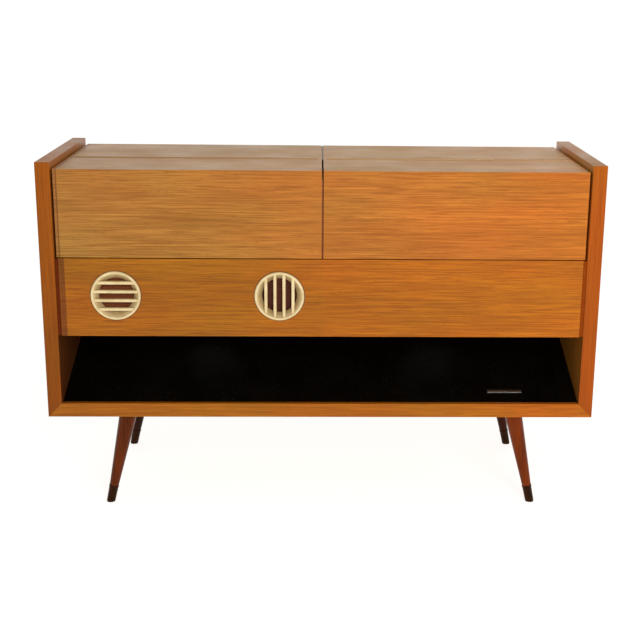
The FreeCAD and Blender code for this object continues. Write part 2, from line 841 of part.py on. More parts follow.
def make_radio_front():
    """The sloping panel with its dial window, the well behind the window, shaft holes and key slot."""
    shaft = "shaft_radius + shaft_play"
    holes = [
        ("-knob_u", "knob_v", shaft),
        ("knob_u", "knob_v", shaft),
        ("knob_u", "small_knob_v", shaft),
    ]
    outline = rectangle(("-radio_half_width", "radio_half_width"), ("0", "radio_length"))
    panel = padded("XY_Plane", "radio_panel", outline, holes, offset="-radio_panel")
    panel.Placement = on_panel(0, 0, 0)
    window = rectangle(("-dial_half_width", "dial_half_width"), ("dial_low", "dial_high"))
    add_pocket(panel, "XY_Plane", "radio_panel", window)
    half_slot = "(1.5 * key_pitch + key_width / 2 + key_slot_play)"
    half_height = "(key_height / 2 + key_slot_play)"
    slot = rectangle(("-" + half_slot, half_slot), (f"key_v - {half_height}", f"key_v + {half_height}"))
    add_pocket(panel, "XY_Plane", "radio_panel", slot)
    far = "(dial_half_width + well_margin)"
    low = "(dial_low - well_margin)"
    high = "(dial_high + well_margin)"
    bottom = "-radio_panel - dial_well"
    floor = panel_block(("-" + far, far), (low, high), f"{bottom} - well_wall", bottom)
    outer = [("-" + far, f"-{far} + well_wall"), (f"{far} - well_wall", far)]
    walls = [panel_block(across, (low, high), bottom, "-radio_panel") for across in outer]
    for up in ((low, f"{low} + well_wall"), (f"{high} - well_wall", high)):
        walls.append(panel_block(("-" + far, far), up, bottom, "-radio_panel"))
    keep(fuse([panel, floor] + walls), "radio_front")


def make_dial():
    """The glass behind the window and the pointer that runs behind the glass."""
    inset = "(well_margin - well_wall - glass_play)"
    far = f"(dial_half_width + {inset})"
    up = (f"dial_low - {inset}", f"dial_high + {inset}")
    glass = panel_block(("-" + far, far), up, "-radio_panel - glass", "-radio_panel")
    keep(glass, "dial_glass")
    back = "-radio_panel - dial_well + pointer_lift"
    width = ("-pointer_width / 2", "pointer_width / 2")
    up = ("dial_low - pointer_reach", "dial_high + pointer_reach")
    keep(panel_block(width, up, back, f"{back} + pointer_depth"), "dial_pointer")


def knob(label, radius, across, up):
    """A turned knob with its shaft, at a place on the sloping panel."""
    profile = [
        ("0", "-shaft_length"),
        ("shaft_radius", "-shaft_length"),
        ("shaft_radius", "knob_lift"),
        (radius, "knob_lift"),
        (f"{radius} - 1", "knob_lift + knob_height"),
        ("0", "knob_lift + knob_height"),
    ]
    body = turned(profile)
    for axis in "xyz":
        body.setExpression("Placement.Base." + axis, None)
    body.Placement = on_panel(across, up, 0)
    keep(body, label)


def make_keys():
    """Four piano keys in one slot, each with its own stem."""
    for number in range(4):
        centre = f"({number} - 1.5) * key_pitch"
        across = (f"{centre} - key_width / 2", f"{centre} + key_width / 2")
        up = ("key_v - key_height / 2", "key_v + key_height / 2")
        cap = panel_block(across, up, "-key_back", "key_depth")
        stem_across = (f"{centre} - key_stem_width / 2", f"{centre} + key_stem_width / 2")
        stem_up = ("key_v - key_stem_height / 2", "key_v + key_stem_height / 2")
        stem = panel_block(stem_across, stem_up, "-key_stem", "-key_back")
        keep(fuse([cap, stem]), f"key_{number + 1}")


def make_radio_chassis():
    """A folded steel tray that carries the valves, the mains transformer and the tuning capacitor."""
    across = ("radio_x - chassis_width / 2", "radio_x + chassis_width / 2")
    deep = ("chassis_front", "chassis_front + chassis_depth")
    tray = padded("XY_Plane", "chassis_height", rectangle(across, deep))
    put_at(tray, z=MIDDLE_TOP)
    inner_across = (f"{across[0]} + chassis_sheet", f"{across[1]} - chassis_sheet")
    inner_deep = (f"{deep[0]} + chassis_sheet", f"{deep[1]} - chassis_sheet")
    hollow = rectangle(inner_across, inner_deep)
    add_pocket(tray, "XY_Plane", "chassis_height - chassis_sheet", hollow, reverse=True)
    keep(tray, "radio_chassis")
    deck = f"({MIDDLE_TOP} + chassis_height)"
    glass = [
        ("0", "0"),
        ("valve_radius", "0"),
        ("valve_radius", "valve_height - valve_shoulder"),
        ("valve_radius * 0.6", "valve_height - valve_shoulder / 4"),
        ("valve_radius * 0.2", "valve_height"),
        ("0", "valve_height"),
    ]
    valves = []
    for number, y in enumerate(("valve_y", "valve_y", "valve_y", "valve_y", "last_valve_y")):
        valves.append(turned(glass, f"radio_x + valve_first_x + {number} * valve_pitch", y, deck))
    keep(group(valves), "radio_valves")
    core = centred_block("radio_x + transformer_x", "transformer_y", deck, "core")
    coil = centred_block("radio_x + transformer_x", "transformer_y", f"{deck} + coil_lift", "coil")
    keep(fuse([core, coil]), "mains_transformer")
    x = "radio_x + capacitor_x"
    frame = centred_block(x, "capacitor_y", deck, "capacitor")
    front = "capacitor_y - capacitor_depth / 2"
    shaft = rod("shaft_radius", "capacitor_shaft", x, front, f"{deck} + capacitor_height / 2", TOWARDS_FRONT)
    keep(fuse([frame, shaft]), "tuning_capacitor")


def centred_block(x, y, z, name):
    """A block on a level, centred on a point, with the sizes that the cells give for its name."""
    across = (f"{x} - {name}_width / 2", f"{x} + {name}_width / 2")
    deep = (f"{y} - {name}_depth / 2", f"{y} + {name}_depth / 2")
    return block(across, deep, (z, f"{z} + {name}_height"))


# ---------------------------------------------------------------- record player

def make_player_plate():
    """A pressed steel plate with a skirt, the spindle's bearing, the idler's axle and a hole for the motor."""
    across = ("player_x - player_width / 2", "player_x + player_width / 2")
    deep = ("player_y - player_depth / 2", "player_y + player_depth / 2")
    outline = rectangle(across, deep)
    plate = padded("XY_Plane", "player_height", outline)
    put_at(plate, z=MIDDLE_TOP)
    doc.recompute()
    upright = []
    for index, edge in enumerate(plate.Shape.Edges, start=1):
        start, end = (vertex.Point for vertex in edge.Vertexes)
        if abs(start.z - end.z) > 1:
            upright.append(f"Edge{index}")
    pad = plate.Tip
    fillet = plate.newObject("PartDesign::Fillet", "corners")
    fillet.Base = (pad, upright)
    bind(fillet, Radius="player_corner")
    for x_wall, y_wall in (("player_sheet", "player_corner"), ("player_corner", "player_sheet")):
        inner_across = (f"{across[0]} + {x_wall}", f"{across[1]} - {x_wall}")
        inner_deep = (f"{deep[0]} + {y_wall}", f"{deep[1]} - {y_wall}")
        hollow = rectangle(inner_across, inner_deep)
        add_pocket(plate, "XY_Plane", "player_height - player_sheet", hollow, reverse=True)
    motor_x, motor_y = drive_point(pulley_distance())
    bores = [
        ("spindle_x", "spindle_y", "bearing_radius"),
        (motor_x, motor_y, "pulley_radius + pulley_room"),
        ("speed_x", "speed_y", "shaft_radius + shaft_play"),
    ]
    add_pocket(plate, "XY_Plane", "player_height", circles=bores, reverse=True)
    tube = [
        ("spindle_shank + shaft_play", "-bearing_length"),
        ("bearing_radius", "-bearing_length"),
        ("bearing_radius", "0"),
        ("spindle_shank + shaft_play", "0"),
    ]
    bearing = turned(tube, "spindle_x", "spindle_y", PLATE_TOP)
    idler_x, idler_y = drive_point(idler_distance())
    axle_length = "player_sheet + axle_length"
    axle = rod("axle_radius", axle_length, idler_x, idler_y, f"{PLATE_TOP} - player_sheet")
    keep(fuse([plate, bearing, axle]), "player_plate")


def drive_point(distance):
    """Formulas of a point of the drive, on one ray from the spindle under the platter."""
    turn = math.radians(SIZES["drive_angle"])
    x = f"spindle_x + {distance * math.cos(turn):.4f}"
    y = f"spindle_y + {distance * math.sin(turn):.4f}"
    return x, y


def idler_distance():
    """Spindle to idler: the idler touches the platter's rim from inside."""
    return SIZES["platter_radius"] - SIZES["platter_rim"] - SIZES["idler_radius"] - SIZES["wheel_gap"]


def pulley_distance():
    """Spindle to motor pulley: the pulley touches the idler."""
    return idler_distance() - SIZES["idler_radius"] - SIZES["pulley_radius"] - SIZES["wheel_gap"]


def make_platter():
    """The platter, its rubber mat and the record spindle."""
    profile = [
        ("spindle_shank", "0"),
        ("hub_radius", "0"),
        ("hub_radius", "platter_height - platter_web"),
        ("platter_radius - platter_rim", "platter_height - platter_web"),
        ("platter_radius - platter_rim", "0"),
        ("platter_radius - 1", "0"),
        ("platter_radius", "1"),
        ("platter_radius", "platter_height - 1"),
        ("platter_radius - 1", "platter_height"),
        ("spindle_shank", "platter_height"),
    ]
    keep(turned(profile, "spindle_x", "spindle_y", PLATTER_BOTTOM), "platter")
    mat = [
        ("spindle_shank + 0.3", "0"),
        ("mat_radius", "0"),
        ("mat_radius", "mat"),
        ("spindle_shank + 0.3", "mat"),
    ]
    keep(turned(mat, "spindle_x", "spindle_y", PLATTER_TOP), "platter_mat")
    pin = [
        ("0", "-bearing_length"),
        ("spindle_shank", "-bearing_length"),
        ("spindle_shank", "platter_height + mat"),
        ("spindle_radius", "platter_height + mat"),
        ("spindle_radius", "platter_height + mat + spindle_top - spindle_point"),
        ("spindle_radius / 2", "platter_height + mat + spindle_top"),
        ("0", "platter_height + mat + spindle_top"),
    ]
    keep(turned(pin, "spindle_x", "spindle_y", PLATTER_BOTTOM), "record_spindle")


def make_drive():
    """The motor under the plate, its pulley and the idler wheel inside the platter's rim."""
    motor_x, motor_y = drive_point(pulley_distance())
    under_plate = f"({PLATE_TOP} - player_sheet)"
    motor = [
        ("0", "-motor_height"),
        ("motor_radius - motor_round", "-motor_height"),
        ("motor_radius", "-motor_height + motor_round"),
        ("motor_radius", "0"),
        ("pulley_radius + pulley_room", "0"),
        ("pulley_radius + pulley_room", "-motor_recess"),
        ("axle_radius + shaft_play", "-motor_recess"),
        ("axle_radius + shaft_play", "-motor_bore"),
        ("0", "-motor_bore"),
    ]
    keep(turned(motor, motor_x, motor_y, under_plate), "player_motor")
    pulley = [
        ("0", "-pulley_shaft"),
        ("axle_radius", "-pulley_shaft"),
        ("axle_radius", "pulley_lift"),
        ("pulley_radius", "pulley_lift"),
        ("pulley_radius", "pulley_lift + pulley_height"),
        ("pulley_radius * 0.7", "pulley_lift + pulley_height"),
        ("pulley_radius * 0.7", "pulley_lift + pulley_height + pulley_tip"),
        ("0", "pulley_lift + pulley_height + pulley_tip"),
    ]
    keep(turned(pulley, motor_x, motor_y, under_plate), "motor_pulley")
    idler_x, idler_y = drive_point(idler_distance())
    wheel = [
        ("axle_radius + shaft_play", "0"),
        ("idler_radius * 0.8", "0"),
        ("idler_radius", "idler_bevel"),
        ("idler_radius", "idler_height - idler_bevel"),
        ("idler_radius * 0.8", "idler_height"),
        ("axle_radius + shaft_play", "idler_height"),
    ]
    keep(turned(wheel, idler_x, idler_y, f"{PLATE_TOP} + idler_lift"), "idler_wheel")


def make_tonearm():
    """The arm's pedestal and rest, its gimbal, and the arm with its head."""
    bore = "shaft_radius + shaft_play"
    pedestal = [
        ("0", "0"),
        ("pedestal_radius", "0"),
        ("pedestal_radius", "pedestal_base"),
        ("column_radius", "pedestal_base + pedestal_slope"),
        ("column_radius", "pedestal_height"),
        (bore, "pedestal_height"),
        (bore, "pedestal_base"),
        ("0", "pedestal_base"),
    ]
    column = turned(pedestal, "arm_x", "arm_y", PLATE_TOP)
    post = rod("rest_radius", "arm_height - arm_radius - rest_gap", "arm_x", "rest_y", PLATE_TOP)
    keep(group([column, post]), "arm_supports")
    axis_height = f"({PLATE_TOP} + arm_height)"
    gimbal_bottom = f"({PLATE_TOP} + pedestal_height + rest_gap)"
    half = "gimbal_width / 2"
    along_x = FreeCAD.Rotation(FreeCAD.Vector(0, 1, 0), 90)
    pieces = [rod(f"{half} - 1", "gimbal_base", "arm_x", "arm_y", gimbal_bottom)]
    pieces.append(rod("shaft_radius", "gimbal_shaft + 1", "arm_x", "arm_y", f"{gimbal_bottom} - gimbal_shaft"))
    for low, high in ((f"-{half}", f"-{half} + gimbal_cheek"), (f"{half} - gimbal_cheek", half)):
        across = (f"arm_x + {low}", f"arm_x + {high}")
        deep = ("arm_y - gimbal_depth / 2", "arm_y + gimbal_depth / 2")
        pieces.append(block(across, deep, (gimbal_bottom, f"{axis_height} + gimbal_rise")))
    hole = rod("pivot_radius + shaft_play", "gimbal_width", f"arm_x - {half}", "arm_y", axis_height, along_x)
    keep(cut(fuse(pieces), hole), "arm_gimbal")
    pivot = rod("pivot_radius", "gimbal_width", f"arm_x - {half}", "arm_y", axis_height, along_x)
    tube_length = "arm_length - head_length / 2 + arm_tail"
    tube = rod("arm_radius", tube_length, "arm_x", "arm_y + arm_tail", axis_height, TOWARDS_FRONT)
    hub_half = f"({half} - gimbal_cheek - hub_play)"
    across = (f"arm_x - {hub_half}", f"arm_x + {hub_half}")
    deep = ("arm_y - hub_depth / 2", "arm_y + hub_depth / 2")
    hub = block(across, deep, (f"{axis_height} - hub_height / 2", f"{axis_height} + hub_height / 2"))
    weight = rod("weight_radius", "weight_length", "arm_x", "arm_y + weight_end", axis_height, TOWARDS_FRONT)
    head_front = "(arm_y - arm_length - head_reach)"
    head_across = ("arm_x - head_width / 2", "arm_x + head_width / 2")
    head_tall = (f"{axis_height} - head_drop", f"{axis_height} + head_rise")
    head = block(head_across, (head_front, f"{head_front} + head_length"), head_tall)
    keep(fuse([tube, hub, pivot, weight, head]), "tonearm")


def make_speed_knob():
    """The speed selector on the plate."""
    profile = [
        ("0", "-player_sheet - speed_shaft"),
        ("shaft_radius", "-player_sheet - speed_shaft"),
        ("shaft_radius", "speed_lift"),
        ("speed_radius", "speed_lift"),
        ("speed_radius - speed_taper", "speed_lift + speed_height"),
        ("0", "speed_lift + speed_height"),
    ]
    keep(turned(profile, "speed_x", "speed_y", PLATE_TOP), "speed_knob")


make_outer_boards()
make_inner_walls()
make_shelves()
make_badge()
make_tops()
make_middle_panel()
make_back_panel()
make_rear_fittings()
make_grille("grille_left", "grille_left_x", upright_bars=False)
make_grille("grille_right", "grille_right_x", upright_bars=True)
make_legs()
make_lids()
make_hinges()
make_speakers()
make_radio_front()
make_dial()
knob("volume_knob", "knob_radius", -SIZES["knob_u"], SIZES["knob_v"])
knob("tuning_knob", "knob_radius", SIZES["knob_u"], SIZES["knob_v"])
knob("tone_knob", "small_knob_radius", SIZES["knob_u"], SIZES["small_knob_v"])
make_keys()
make_radio_chassis()
make_player_plate()
make_platter()
make_drive()
make_tonearm()
make_speed_knob()

# ---------------------------------------------------------------- checks and files

doc.recompute()
for item in doc.Objects:
    if "Invalid" in item.State or "Error" in item.State:
        raise ValueError(f"{item.Label} failed: {item.State}")
labels = [item.Label for item in nodes]
if len(set(labels)) != len(labels) or len(labels) > 60:
    raise ValueError("sub-part names must differ, and there are at most 60")
os.makedirs("parts", exist_ok=True)
for item in nodes:
    if item.Shape.isNull() or not item.Shape.isValid() or not item.Shape.Solids:
        raise ValueError(f"{item.Label} has no valid solid")
    item.Shape.exportStep(f"parts/{item.Label}.step")
    print(f"{item.Label}: {len(item.Shape.Solids)} solids, {item.Shape.Volume / 1000:.1f} cm3")
print(len(nodes), "sub-parts")
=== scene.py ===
"""Looks of the radio phonograph console: materials, detailed pieces, light and camera."""
import json
from math import atan2, copysign, cos, hypot, pi, radians, sin

import bmesh
import bpy
from mathutils import Matrix, Vector


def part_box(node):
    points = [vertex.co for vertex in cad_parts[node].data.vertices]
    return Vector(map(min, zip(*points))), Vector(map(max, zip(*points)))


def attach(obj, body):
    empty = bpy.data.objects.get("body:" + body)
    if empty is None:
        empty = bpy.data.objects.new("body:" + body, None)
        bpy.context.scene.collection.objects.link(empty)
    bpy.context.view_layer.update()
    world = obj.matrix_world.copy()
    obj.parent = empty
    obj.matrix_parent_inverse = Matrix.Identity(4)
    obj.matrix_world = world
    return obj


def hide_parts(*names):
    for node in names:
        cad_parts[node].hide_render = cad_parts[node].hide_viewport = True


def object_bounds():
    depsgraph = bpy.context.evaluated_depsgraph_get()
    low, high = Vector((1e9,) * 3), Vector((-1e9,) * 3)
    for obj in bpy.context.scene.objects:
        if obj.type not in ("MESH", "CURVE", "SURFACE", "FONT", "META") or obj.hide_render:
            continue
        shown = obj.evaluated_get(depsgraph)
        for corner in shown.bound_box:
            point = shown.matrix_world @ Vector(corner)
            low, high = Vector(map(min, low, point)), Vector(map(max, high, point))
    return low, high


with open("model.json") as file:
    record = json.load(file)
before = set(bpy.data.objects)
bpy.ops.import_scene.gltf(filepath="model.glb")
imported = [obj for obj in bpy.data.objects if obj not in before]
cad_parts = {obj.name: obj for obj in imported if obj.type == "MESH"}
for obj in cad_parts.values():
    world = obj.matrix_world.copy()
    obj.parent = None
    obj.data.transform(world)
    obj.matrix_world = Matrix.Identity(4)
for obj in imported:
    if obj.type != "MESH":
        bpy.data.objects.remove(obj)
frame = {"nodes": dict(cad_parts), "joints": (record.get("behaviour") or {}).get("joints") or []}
CAD_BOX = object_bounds()

MM = 0.001
NODES = frame["nodes"]
JOINTS = {joint["name"]: joint for joint in frame["joints"]}
PANEL_LOW, PANEL_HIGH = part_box("middle_panel")
FRONT_Y = PANEL_LOW.y
CABINET_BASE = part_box("bottom_board")[0].z
PLATE_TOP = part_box("platter")[0].z - 5 * MM


def centre_of(node):
    low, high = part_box(node)
    return (low + high) / 2


def corners_of(node):
    """A node's lowest and highest corner, in millimetres."""
    low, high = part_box(node)
    return low / MM, high / MM


def joint_spot(name):
    return Vector(JOINTS[name]["pos_m"])


# ---- node helpers

class Surface:
    """A material and short calls that add and link its nodes."""

    def __init__(self, name, roughness=0.5, metallic=0.0):
        self.material = bpy.data.materials.new(name)
        self.material.use_nodes = True
        self.tree = self.material.node_tree
        self.shader = self.tree.nodes["Principled BSDF"]
        self.set(Roughness=roughness, Metallic=metallic)

    def add(self, kind, inputs, **settings):
        """A node with its settings, and its inputs set to values or linked to sockets."""
        item = self.tree.nodes.new(kind)
        for name, value in settings.items():
            setattr(item, name, value)
        for name, value in inputs.items():
            if isinstance(value, bpy.types.NodeSocket):
                self.tree.links.new(value, item.inputs[name])
            else:
                item.inputs[name].default_value = value
        return item

    def set(self, **values):
        """Constants on the shader's own sockets, with _ for a space in their names."""
        for name, value in values.items():
            self.shader.inputs[name.replace("_", " ")].default_value = value
        return self

    def plug(self, socket, name="Base Color"):
        self.tree.links.new(socket, self.shader.inputs[name])

    def place(self, scale=(1, 1, 1), start=None):
        """The object's own coordinates, or another vector, stretched."""
        vector = start or self.add("ShaderNodeTexCoord", {}).outputs["Object"]
        return self.add("ShaderNodeMapping", {"Vector": vector, "Scale": scale}).outputs["Vector"]

    def noise(self, stretch=(1, 1, 1), scale=1.0, detail=2.0, roughness=0.5, start=None):
        vector = self.place(stretch, start)
        inputs = {"Vector": vector, "Scale": scale, "Detail": detail, "Roughness": roughness}
        return self.add("ShaderNodeTexNoise", inputs).outputs["Fac"]

    def wave(self, scale, direction):
        inputs = {"Vector": self.place(), "Scale": scale}
        return self.add("ShaderNodeTexWave", inputs, bands_direction=direction).outputs["Fac"]

    def sum(self, operation, *values, clamp=False):
        inputs = dict(enumerate(values))
        return self.add("ShaderNodeMath", inputs, operation=operation, use_clamp=clamp).outputs[0]

    def span(self, value, low, high, to_low=0.0, to_high=1.0):
        """A value's span mapped to another, and held at its ends."""
        inputs = {"Value": value, "From Min": low, "From Max": high, "To Min": to_low, "To Max": to_high}
        return self.add("ShaderNodeMapRange", inputs).outputs["Result"]

    def vary(self, noise, low=0.0, high=1.0):
        """The usual span of a noise, mapped to another."""
        return self.span(noise, 0.3, 0.7, low, high)

    def mix(self, share, first, second, blend="MIX"):
        """Two colours mixed by a share."""
        inputs = {0: share}
        for index, colour in ((6, first), (7, second)):
            inputs[index] = colour if isinstance(colour, bpy.types.NodeSocket) else (*colour, 1.0)
        return self.add("ShaderNodeMix", inputs, data_type="RGBA", blend_type=blend).outputs[2]

    def shade(self, colour, by):
        """A colour multiplied by another."""
        return self.mix(1.0, colour, by, "MULTIPLY")

    def axis(self, name):
        """One coordinate of the object's own place, in metres."""
        coordinates = self.add("ShaderNodeTexCoord", {}).outputs["Object"]
        return self.add("ShaderNodeSeparateXYZ", {"Vector": coordinates}).outputs[name]

    def relief(self, height, distance, strength=1.0):
        """A bump of the surface, its depth in metres."""
        bump = self.add("ShaderNodeBump", {"Height": height, "Distance": distance, "Strength": strength})
        self.plug(bump.outputs["Normal"], "Normal")


def linear(red, green, blue):
    """A colour given as 0-255 display values, in the shader's linear units."""
    shares = (value / 255 for value in (red, green, blue))
    return tuple(s / 12.92 if s <= 0.04045 else ((s + 0.055) / 1.055) ** 2.4 for s in shares)


# ---- wood

GRAIN = {
    "X": lambda along, across: (along, across, across),
    "Z": lambda along, across: (across, across, along),
}
HALF_WIDTH = 0.6
WARM_SHEEN = (1.0, 0.84, 0.62, 1.0)
DARK_GRAIN = (0.62, 0.54, 0.40)
LIGHT_GRAIN = (1.20, 1.23, 1.32)
PORE = (0.42, 0.30, 0.20)
# painted light: the front edges of the side boards darker low down and lighter high up, as light falls from
# above
LOW_PAINTED_SHADE, HIGH_PAINTED_LIGHT = (0.88, 0.90, 0.80), (1.16, 1.26, 1.06)
LID_STRIP, LID_LIPPING = 0.0055, (0.84, 0.76, 0.95)
LID_LINE_WIDTH, LID_LINE = 0.002, (0.56, 0.50, 0.36)
PANEL_STRIP, PANEL_LIPPING_OUTER = 0.0045, (0.60, 0.50, 0.5)
PANEL_INNER_STRIP, PANEL_LIPPING_INNER = 0.0075, (0.54, 0.44, 0.2)
OTHER_LEAF = (1.05, 1.0, 1.03)
# painted shade: the two shades for the left and right side boards' inner faces, for the shadow in the niche
# under the speaker board
NICHE_PAINTED_SHADE = ((0.27, 0.22, 0.4), (0.53, 0.58, 0.75))
# painted shade: the tongue between the rear tops darkened, for the shadow deep in the gap
TONGUE_PAINTED_SHADE = (0.14, 0.09, 0.06)
# painted shade: the rear legs darker, for the shadow of the cabinet over them
REAR_LEG_PAINTED_SHADE = (0.22, 0.10, 0.10)
LIDS = (linear(162, 112, 48), linear(193, 108, 27))
# the tops lighter than the lid fronts: a painted sheen of the lacquer under a bright sky
TOPS_WITH_PAINTED_SHEEN = (linear(186, 134, 56), linear(212, 148, 62))
PANEL = (linear(155, 90, 5), linear(181, 101, 5))
SIDES = (linear(137, 71, 3), linear(166, 77, 3))
SIDE_FACES = (linear(172, 106, 38), linear(192, 122, 42))
BOTTOM = (linear(152, 91, 5), linear(176, 95, 5))
INNER = (linear(132, 80, 42), linear(138, 82, 42))


def veneer(name, ends, along="X", seams=(), gloss=0.34, contrast=1.0, faces=None, painted_niche_shade=None, sheen=0.28):
    """Lacquered veneer: bands, fine straight lines and short dark pores along one axis.

    ends are the colours at the cabinet's left and right. seams are (x, width, shade) strips across the
    panel: a lipping strip, the other leaf of a veneer joint, or painted shade on the tongue that shows
    in the gap between the rear tops. faces are the two colours of a board's broad faces, where they
    differ from its front edge; with faces, the front edge also grows lighter towards the top, a painted
    gradient of light falling from above. painted_niche_shade is (inner x, top z, two shades): painted
    shade, darker on the inner face below a height, for the shadow in the niche.
    """
    wood = Surface(name, gloss)

    def streaks(scale, detail, roughness):
        return wood.noise(GRAIN[along](*scale), detail=detail, roughness=roughness, start=moved)

    wander = wood.noise(GRAIN[along](1.6, 5), detail=1.0)
    lift = wood.vary(wander, -0.0018, 0.0018)
    offset = wood.add("ShaderNodeCombineXYZ", {"X" if along == "Z" else "Z": lift, "Y": lift}).outputs[0]
    moved = wood.add("ShaderNodeVectorMath", {0: wood.place(), 1: offset}, operation="ADD").outputs[0]
    bands = streaks((2.4, 20), 2.0, 0.45)
    patches = streaks((3.5, 8), 2.0, 0.5)
    lines = streaks((6, 420), 2.0, 0.6)
    threads = streaks((14, 520), 1.0, 0.6)
    dashes = streaks((60, 330), 1.0, 0.4)
    pores = streaks((75, 900), 1.0, 0.4)
    across = wood.span(wood.axis("X"), -HALF_WIDTH, HALF_WIDTH)
    ground = wood.mix(across, *ends)
    if faces:
        # painted light: the front edge grows lighter towards the top
        height = wood.span(wood.axis("Z"), CABINET_BASE, CAD_BOX[1][2])
        ground = wood.shade(ground, wood.mix(height, LOW_PAINTED_SHADE, HIGH_PAINTED_LIGHT))
        behind_edge = wood.span(wood.axis("Y"), FRONT_Y + 0.0005, FRONT_Y + 0.0015)
        ground = wood.mix(behind_edge, ground, wood.mix(across, *faces))
    hue = wood.mix(wood.span(patches, 0.35, 0.65), (0.94, 1.04, 1.05), (1.05, 0.96, 0.96))
    ground = wood.shade(ground, hue)
    dark = wood.shade(ground, DARK_GRAIN)
    light = wood.shade(ground, LIGHT_GRAIN)
    tone = wood.sum("ADD", wood.span(bands, 0.34, 0.66, 0.0, 0.26), wood.span(lines, 0.32, 0.68, 0.0, 0.74))
    spread = 0.5 * contrast
    colour = wood.mix(wood.span(tone, 0.0, 1.0, 0.5 - spread, 0.5 + spread), dark, light)
    colour = wood.mix(wood.span(threads, 0.50, 0.66, 0.0, 0.8 * contrast), colour, dark)
    pore_dark = wood.shade(ground, PORE)
    colour = wood.mix(wood.span(pores, 0.66, 0.80, 0.0, 0.75 * contrast), colour, pore_dark)
    colour = wood.mix(wood.span(dashes, 0.69, 0.80, 0.0, 0.4 * contrast), colour, pore_dark)
    for edge, width, shade in seams:
        place = wood.axis("X")
        inside = wood.sum("COMPARE", place, edge + width / 2, width / 2)
        colour = wood.mix(inside, colour, wood.shade(colour, shade))
        joint = wood.sum("COMPARE", place, edge + width, 0.0006)
        colour = wood.mix(wood.sum("MULTIPLY", joint, 0.55), colour, pore_dark)
    # painted shade: the inner face darker below the speaker board, for the shadow in the niche
    if painted_niche_shade:
        inner, top, shades = painted_niche_shade
        outward = wood.sum("ABSOLUTE", wood.axis("X"))
        inside = wood.sum("LESS_THAN", outward, inner + 0.0005)
        below = wood.sum("LESS_THAN", wood.axis("Z"), top)
        niche_shaded = wood.shade(colour, wood.mix(across, *shades))
        colour = wood.mix(wood.sum("MULTIPLY", inside, below), colour, niche_shaded)
    wood.plug(colour)
    dull = wood.noise(scale=9, detail=3.0)
    wood.plug(wood.vary(dull, gloss - 0.05, gloss + 0.07), "Roughness")
    height = wood.sum("SUBTRACT", wood.sum("MULTIPLY", threads, 0.5), wood.span(pores, 0.62, 0.8))
    wood.relief(height, 0.00008, 0.15)
    return wood.set(Specular_IOR_Level=sheen, Specular_Tint=WARM_SHEEN)


def set_wood():
    """Veneers of the cabinet's boards, and the plainer boards inside it."""
    lid_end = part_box("lid_left_front")[0].x
    panel_end = PANEL_LOW.x
    half_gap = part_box("rear_top_right")[0].x
    lid_seams = [(lid_end, LID_STRIP, LID_LIPPING), (lid_end + LID_STRIP, LID_LINE_WIDTH, LID_LINE)]
    # the last seam is painted shade on the tongue in the gap between the rear tops
    top_seams = lid_seams + [(-half_gap, 2 * half_gap, TONGUE_PAINTED_SHADE)]
    panel_seams = [
        (panel_end, PANEL_STRIP, PANEL_LIPPING_OUTER),
        (panel_end + PANEL_STRIP, PANEL_INNER_STRIP, PANEL_LIPPING_INNER),
        (0.0, -panel_end, OTHER_LEAF),
    ]
    # where the painted niche shade lies: inside the reflector board's width and below the speaker board
    niche = (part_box("reflector_board")[1].x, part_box("speaker_board")[0].z, NICHE_PAINTED_SHADE)
    side_looks = {"along": "Z", "contrast": 0.6, "faces": SIDE_FACES, "painted_niche_shade": niche, "sheen": 0.2}
    dress(0.5, veneer("lid_veneer", LIDS, seams=lid_seams), "lid_left_front", "lid_right_front")
    # the tops' lighter colour is a painted sheen
    top_wood = veneer("top_veneer", TOPS_WITH_PAINTED_SHEEN, seams=top_seams, gloss=0.32, sheen=0.22)
    dress(0.2, top_wood, "lid_left_top", "lid_right_top", "rear_top_left", "rear_top_right")
    dress(0.6, veneer("panel_veneer", PANEL, seams=panel_seams), "middle_panel")
    dress(0.8, veneer("side_veneer", SIDES, **side_looks), "side_board_left", "side_board_right")
    dress(0.8, veneer("bottom_veneer", BOTTOM, contrast=0.8), "bottom_board")
    inner_wood = veneer("inner_board", INNER, gloss=0.55, contrast=0.7)
    dress(0.4, inner_wood, "end_wall_left", "end_wall_right", "centre_partition")
    dress(0.4, inner_wood, "speaker_board", "compartment_floor")


def make_gap_strips():
    """Reddish strips in the side gaps, deep beside the lids and nearly flush beside the middle panel."""
    strips = bmesh.new()
    outer = corners_of("reflector_board")[1].x - 0.2
    inner = outer - 8.6
    behind_panel = FRONT_Y / MM + 2
    behind_lid = corners_of("lid_left_front")[1].y + 1
    low = corners_of("speaker_board")[0].z + 1
    middle = PANEL_HIGH.z / MM - 1
    high = corners_of("lid_left_top")[0].z - 2
    panel_side = PANEL_HIGH.x / MM + 0.4
    for side in (-1, 1):
        first, last = sorted((side * inner, side * outer))
        block(strips, (first, behind_lid, middle), (last, behind_lid + 3.5, high), 0.4, steps=1)
        first, last = sorted((side * panel_side, side * outer))
        block(strips, (first, behind_panel, low), (last, behind_lid, middle), 0.3, steps=1)
    red = Surface("gap_strip_wood", 0.6).set(Specular_IOR_Level=0.1, Specular_Tint=WARM_SHEEN)
    lines = red.noise((6, 6, 1), 60, detail=3.0)
    across = red.span(red.axis("X"), -inner * MM, inner * MM)
    dark = red.mix(across, linear(82, 26, 0), linear(127, 50, 0))
    light = red.mix(across, linear(97, 34, 0), linear(143, 60, 0))
    red.plug(red.mix(red.vary(lines), dark, light))
    red.relief(lines, 0.00005, 0.5)
    make_piece(strips, "gap_strips", red)


LIPPING_THICKNESS = 2.0
LIPPING_INSET = 1.5


